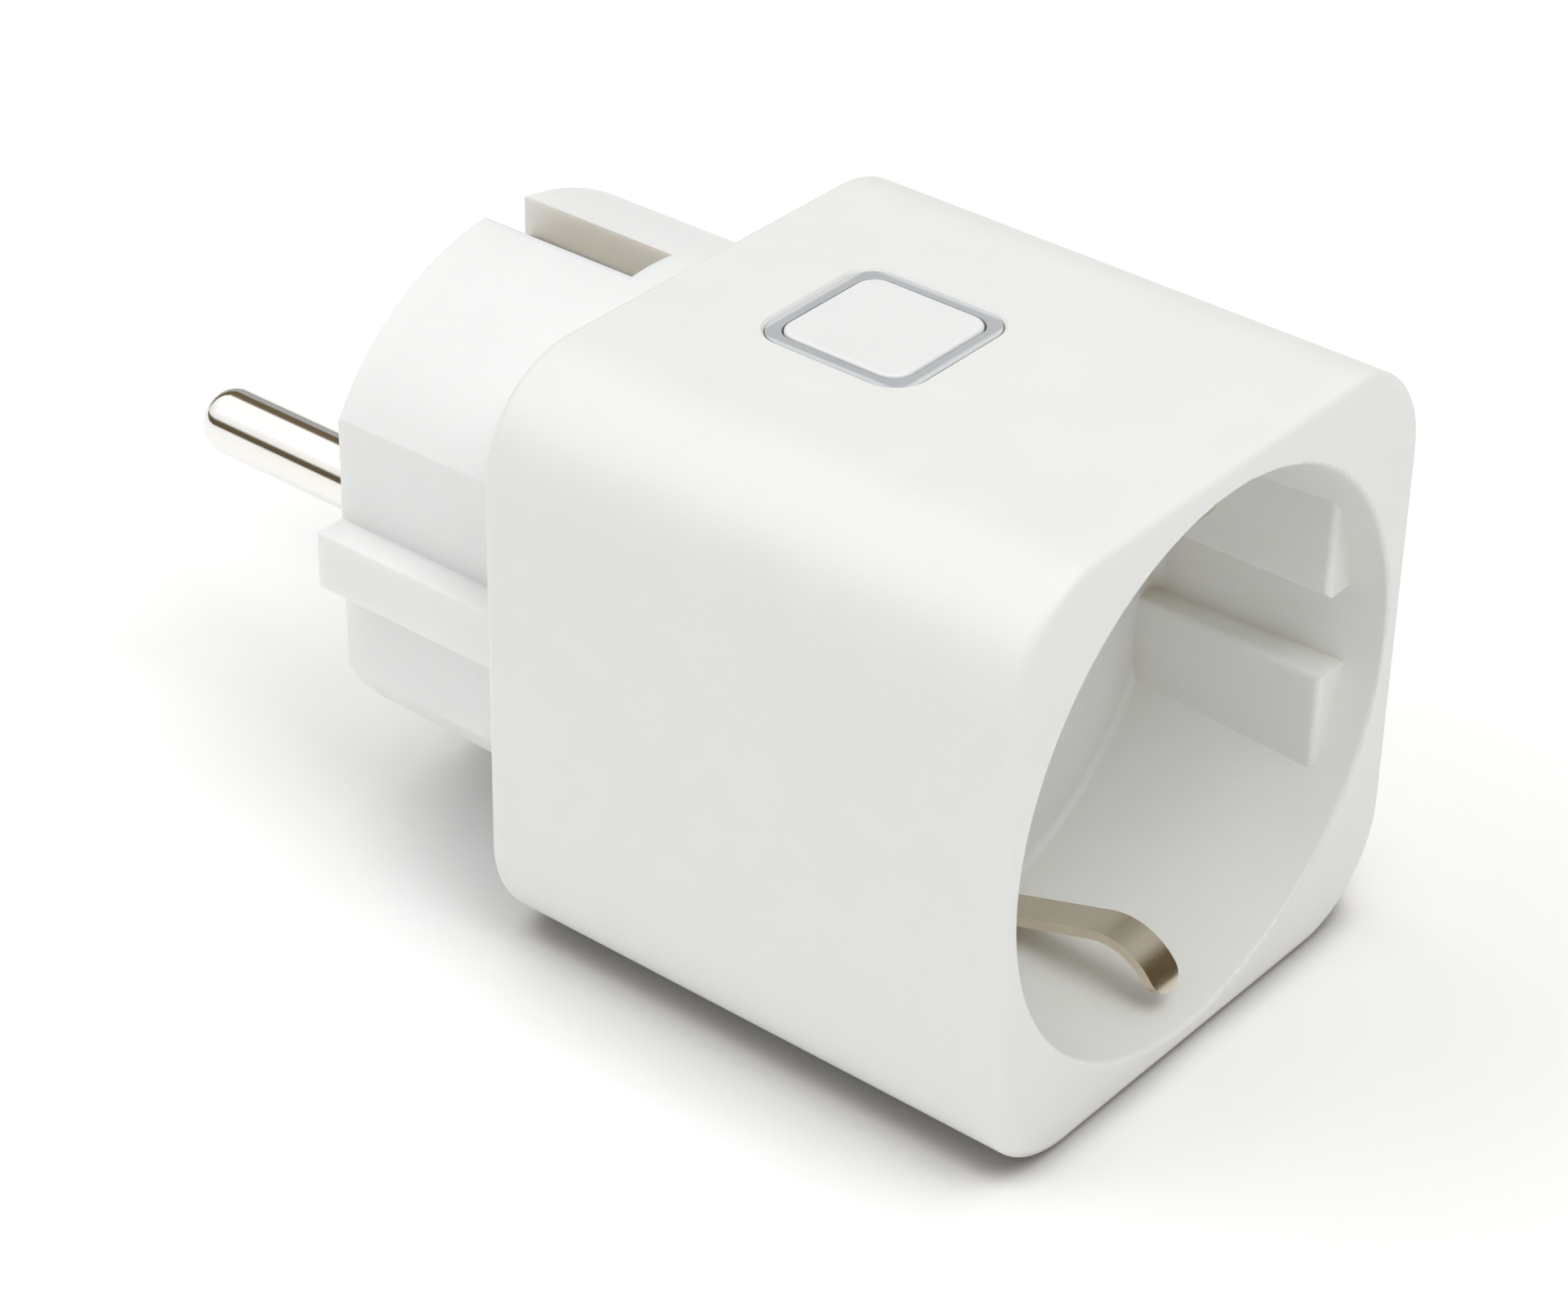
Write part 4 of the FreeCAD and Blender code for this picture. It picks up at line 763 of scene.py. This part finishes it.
def wound_wire_tree():
    """Close turns of wire on a bobbin: a helix along Y given a round section."""
    tree, given, result = new_group(
        "wound wire", "GeometryNodeTree",
        [("Start", "NodeSocketVector", (0, 0, 0)), ("Turns", "NodeSocketFloat", 20.0),
         ("Coil radius", "NodeSocketFloat", 3.5 * MM), ("Wire radius", "NodeSocketFloat", 0.1 * MM),
         ("Length", "NodeSocketFloat", 6.0 * MM), ("Enamel", "NodeSocketMaterial", None)],
        [("Winding", "NodeSocketGeometry")])
    helix = step(tree, "GeometryNodeCurveSpiral", {
        "Resolution": 28, "Rotations": given.outputs["Turns"],
        "Start Radius": given.outputs["Coil radius"], "End Radius": given.outputs["Coil radius"],
        "Height": given.outputs["Length"]})
    laid = step(tree, "GeometryNodeTransform", {"Geometry": helix.outputs[0],
                                                "Translation": given.outputs["Start"],
                                                "Rotation": (-math.pi / 2, 0, 0)})
    section = step(tree, "GeometryNodeCurvePrimitiveCircle", {
        "Resolution": 6, "Radius": given.outputs["Wire radius"]}, mode="RADIUS")
    wire = step(tree, "GeometryNodeCurveToMesh", {"Curve": laid.outputs[0],
                                                  "Profile Curve": section.outputs[0],
                                                  "Fill Caps": True})
    ended(tree, wire.outputs[0], given.outputs["Enamel"], result)
    return tree


def enamelled_copper():
    """Reddish wire under clear enamel, streaked along its turns."""
    dark_copper, bright_copper = (0.42, 0.13, 0.035, 1), (0.66, 0.27, 0.09, 1)
    material, tree, shader, here = new_material("enamelled copper wire")
    turns = placed(tree, fine_lines, {"Vector": here, "Density": (500, 4200, 500)})
    tree.links.new(tinted(tree, turns.outputs["Height"], dark_copper, bright_copper),
                   shader.inputs["Base Color"])
    tree.links.new(spread(tree, turns.outputs["Height"], 0.3, 0.7, 0.20, 0.32),
                   shader.inputs["Roughness"])
    raised(tree, shader, turns.outputs["Height"], 0.004 * MM)
    shader.inputs["Metallic"].default_value = 0.85
    shader.inputs["Coat Weight"].default_value = 0.7
    return material


enamel = enamelled_copper()
dress(enamel, "relay_coil", "supply_coil")
winding_tree = wound_wire_tree()
wire_radius = 0.1 * MM
waist_radius = 3.5 * MM
turn_pitch = 2.1 * wire_radius
for node, flange_low, flange_high in (("relay_coil", 0.6 * MM, 0.6 * MM),
                                      ("supply_coil", 1.2 * MM, 1.0 * MM)):
    coil_low, coil_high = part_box(node)
    centre = (coil_low + coil_high) / 2
    start = coil_low.y + flange_low + wire_radius
    length = coil_high.y - flange_high - wire_radius - start
    winding = grown(node + "_winding", winding_tree, {
        "Start": (centre.x, start, centre.z), "Turns": length / turn_pitch,
        "Coil radius": waist_radius + 0.8 * wire_radius, "Wire radius": wire_radius,
        "Length": length, "Enamel": enamel})
    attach(winding, "case")

zinc_iron = metal("zinc-plated soft iron", (0.62, 0.63, 0.66), (0.74, 0.74, 0.74), 0.34,
                  (900, 4200, 900), tarnish=0.3)
dress(zinc_iron, "relay_yoke", "relay_armature")
dress(moulded("blue relay cover", (0.02, 0.06, 0.24), (0.015, 0.05, 0.20), 0.28,
              cell=0.25 * MM, depth=0.002 * MM), "relay_cover")


# ---------------------------------------------------------------- floor
# A wide sheet of matt white paper that the case stands on.  A shadow is painted on the paper where
# the case
# closes it in: strongly in a thin line at its foot, and faintly in a wider band.

def paper():
    """Matt paper with a shadow painted on by how enclosed it is."""
    white, bright_white = (0.955, 0.955, 0.955, 1), (0.97, 0.97, 0.97, 1)
    painted_shadow_grey = (0.33, 0.33, 0.335, 1)
    foot_reach, band_reach = 2.6 * MM, 15.0 * MM
    material, tree, shader, here = new_material("matt white paper")
    fibres = step(tree, "ShaderNodeTexNoise", {"Vector": here, "Scale": 900.0, "Detail": 4.0})
    sheet = tinted(tree, fibres.outputs[0], white, bright_white)
    near_sky = step(tree, "ShaderNodeAmbientOcclusion", {"Distance": foot_reach}, samples=12)
    wide_sky = step(tree, "ShaderNodeAmbientOcclusion", {"Distance": band_reach}, samples=12)
    # The painted shadow: the paper greys the more the case closes it in nearby.
    shade = sum_of(tree, "MAXIMUM", spread(tree, near_sky.outputs["AO"], 0.92, 0.40),
                   spread(tree, wide_sky.outputs["AO"], 0.80, 0.35, 0.0, 0.45))
    tree.links.new(tinted(tree, shade, sheet, painted_shadow_grey), shader.inputs["Base Color"])
    shader.inputs["Roughness"].default_value = 0.9
    shader.inputs["Specular IOR Level"].default_value = 0.2
    shader.inputs["Emission Color"].default_value = (1.0, 1.0, 1.0, 1.0)
    shader.inputs["Emission Strength"].default_value = 0.05
    return material


floor_reach = 6.0
floor_mesh = bpy.data.meshes.new("floor")
floor_mesh.from_pydata([(-floor_reach, -floor_reach, 0), (floor_reach, -floor_reach, 0),
                        (floor_reach, floor_reach, 0), (-floor_reach, floor_reach, 0)],
                       [], [(0, 1, 2, 3)])
floor_mesh.materials.append(paper())
floor = bpy.data.objects.new("floor", floor_mesh)
bpy.context.scene.collection.objects.link(floor)


# ---------------------------------------------------------------- studio light
# A bright dome, dimmer towards the horizon.  Behind the plug it has two brown gaps, where the
# room shows, with a brighter panel between them.  A round gap lies low in front, on the right.
# Soft boxes stand above, in front, and behind left for the sheen on the rounded edge.

def gap(tree, turn, first, last, soft):
    """A mask of the dome between two angles round the Y axis, in degrees."""
    rising = spread(tree, turn, math.radians(first - soft), math.radians(first + soft))
    falling = spread(tree, turn, math.radians(last + soft), math.radians(last - soft))
    return sum_of(tree, "MULTIPLY", rising, falling)


def dark_corner(tree, direction, towards, wide, soft):
    """A round mask of the dome about one direction, in degrees."""
    near = step(tree, "ShaderNodeVectorMath", {0: direction, 1: Vector(towards).normalized()},
                operation="DOT_PRODUCT").outputs["Value"]
    return spread(tree, near, math.cos(math.radians(wide + soft)),
                  math.cos(math.radians(wide - soft)))


def studio_dome(strength, room):
    """The light from all sides; the camera sees it without its gaps."""
    plain_screen, bright_panel = (1.0, 1.0, 1.0, 1), (2.1, 2.1, 2.06, 1)
    world = bpy.data.worlds.new("studio dome")
    world.use_nodes = True
    tree = world.node_tree
    tree.nodes.clear()
    direction = step(tree, "ShaderNodeTexCoord").outputs["Generated"]
    apart = step(tree, "ShaderNodeSeparateXYZ", {0: direction})
    turn = sum_of(tree, "ARCTAN2", apart.outputs["Z"], apart.outputs["X"])
    right_gap, left_gap = gap(tree, turn, 30, 60, 4), gap(tree, turn, 160, 190, 3)
    gaps = sum_of(tree, "MAXIMUM", right_gap, left_gap)
    far = spread(tree, apart.outputs["Y"], 0.10, 0.30)
    corner = dark_corner(tree, direction, (0.65, -0.72, 0.22), 26, 8)
    dim = sum_of(tree, "MAXIMUM", corner, sum_of(tree, "MULTIPLY", gaps, far))
    panel = sum_of(tree, "MULTIPLY", gap(tree, turn, 60, 160, 4),
                   spread(tree, apart.outputs["Y"], 0.36, 0.44))
    seen = step(tree, "ShaderNodeLightPath").outputs["Is Camera Ray"]
    lit_only = sum_of(tree, "MULTIPLY", dim, sum_of(tree, "SUBTRACT", 1.0, seen))
    screens = tinted(tree, panel, plain_screen, bright_panel)
    colour = tinted(tree, lit_only, screens, (*room, 1))
    rise = spread(tree, apart.outputs["Z"], 0.0, 0.8, 0.72, 1.15)
    light = step(tree, "ShaderNodeBackground",
                 {"Color": colour, "Strength": sum_of(tree, "MULTIPLY", rise, strength)})
    step(tree, "ShaderNodeOutputWorld", {"Surface": light.outputs[0]})
    return world


def soft_box(name, direction, distance, side, power):
    """A square area light that looks at the object."""
    lamp = bpy.data.lights.new(name, "AREA")
    lamp.shape = "SQUARE"
    lamp.size = side
    lamp.energy = power
    box = bpy.data.objects.new(name, lamp)
    away = Vector(direction).normalized()
    box.matrix_world = (Matrix.Translation(away * distance)
                        @ away.to_track_quat("Z", "Y").to_matrix().to_4x4())
    bpy.context.scene.collection.objects.link(box)


dome_strength = 0.50
room_brown = (0.30, 0.225, 0.13)
bpy.context.scene.world = studio_dome(dome_strength, room_brown)
soft_box("box above", (0.2, -0.1, 1.0), 1.2, 0.9, 2.6)
soft_box("box behind left", (-0.50, 0.40, 0.76), 1.0, 0.5, 1.1)
soft_box("box in front", (-0.10, -0.58, 1.08), 1.0, 0.5, 2.8)
bpy.context.scene.view_settings.view_transform = "Standard"


# ---------------------------------------------------------------- camera
# It looks down at the case's left front corner, a little turned, through a long lens.  It
# stands about 29 cm away and is aimed at a point low inside the case.

AZIMUTH, ELEVATION, ROLL = math.radians(-51.21), math.radians(33.16), math.radians(1.138)
DISTANCE = 0.29196
SIGHTED_POINT = Vector((-0.000886, -0.005476, 0.016038))

back = Vector((math.sin(AZIMUTH) * math.cos(ELEVATION), -math.cos(AZIMUTH) * math.cos(ELEVATION),
               math.sin(ELEVATION)))
level = Vector((0, 0, 1)).cross(back).normalized()
upright = back.cross(level)
right = level * math.cos(ROLL) + upright * math.sin(ROLL)
up = upright * math.cos(ROLL) - level * math.sin(ROLL)

camera = bpy.data.objects.new("camera", bpy.data.cameras.new("camera"))
camera.data.lens = 100.91
camera.data.sensor_width = 36.0
camera.data.clip_start = 0.01
camera.matrix_world = (Matrix.Translation(SIGHTED_POINT + back * DISTANCE)
                       @ Matrix((right, up, back)).transposed().to_4x4())
bpy.context.scene.collection.objects.link(camera)
bpy.context.scene.camera = camera
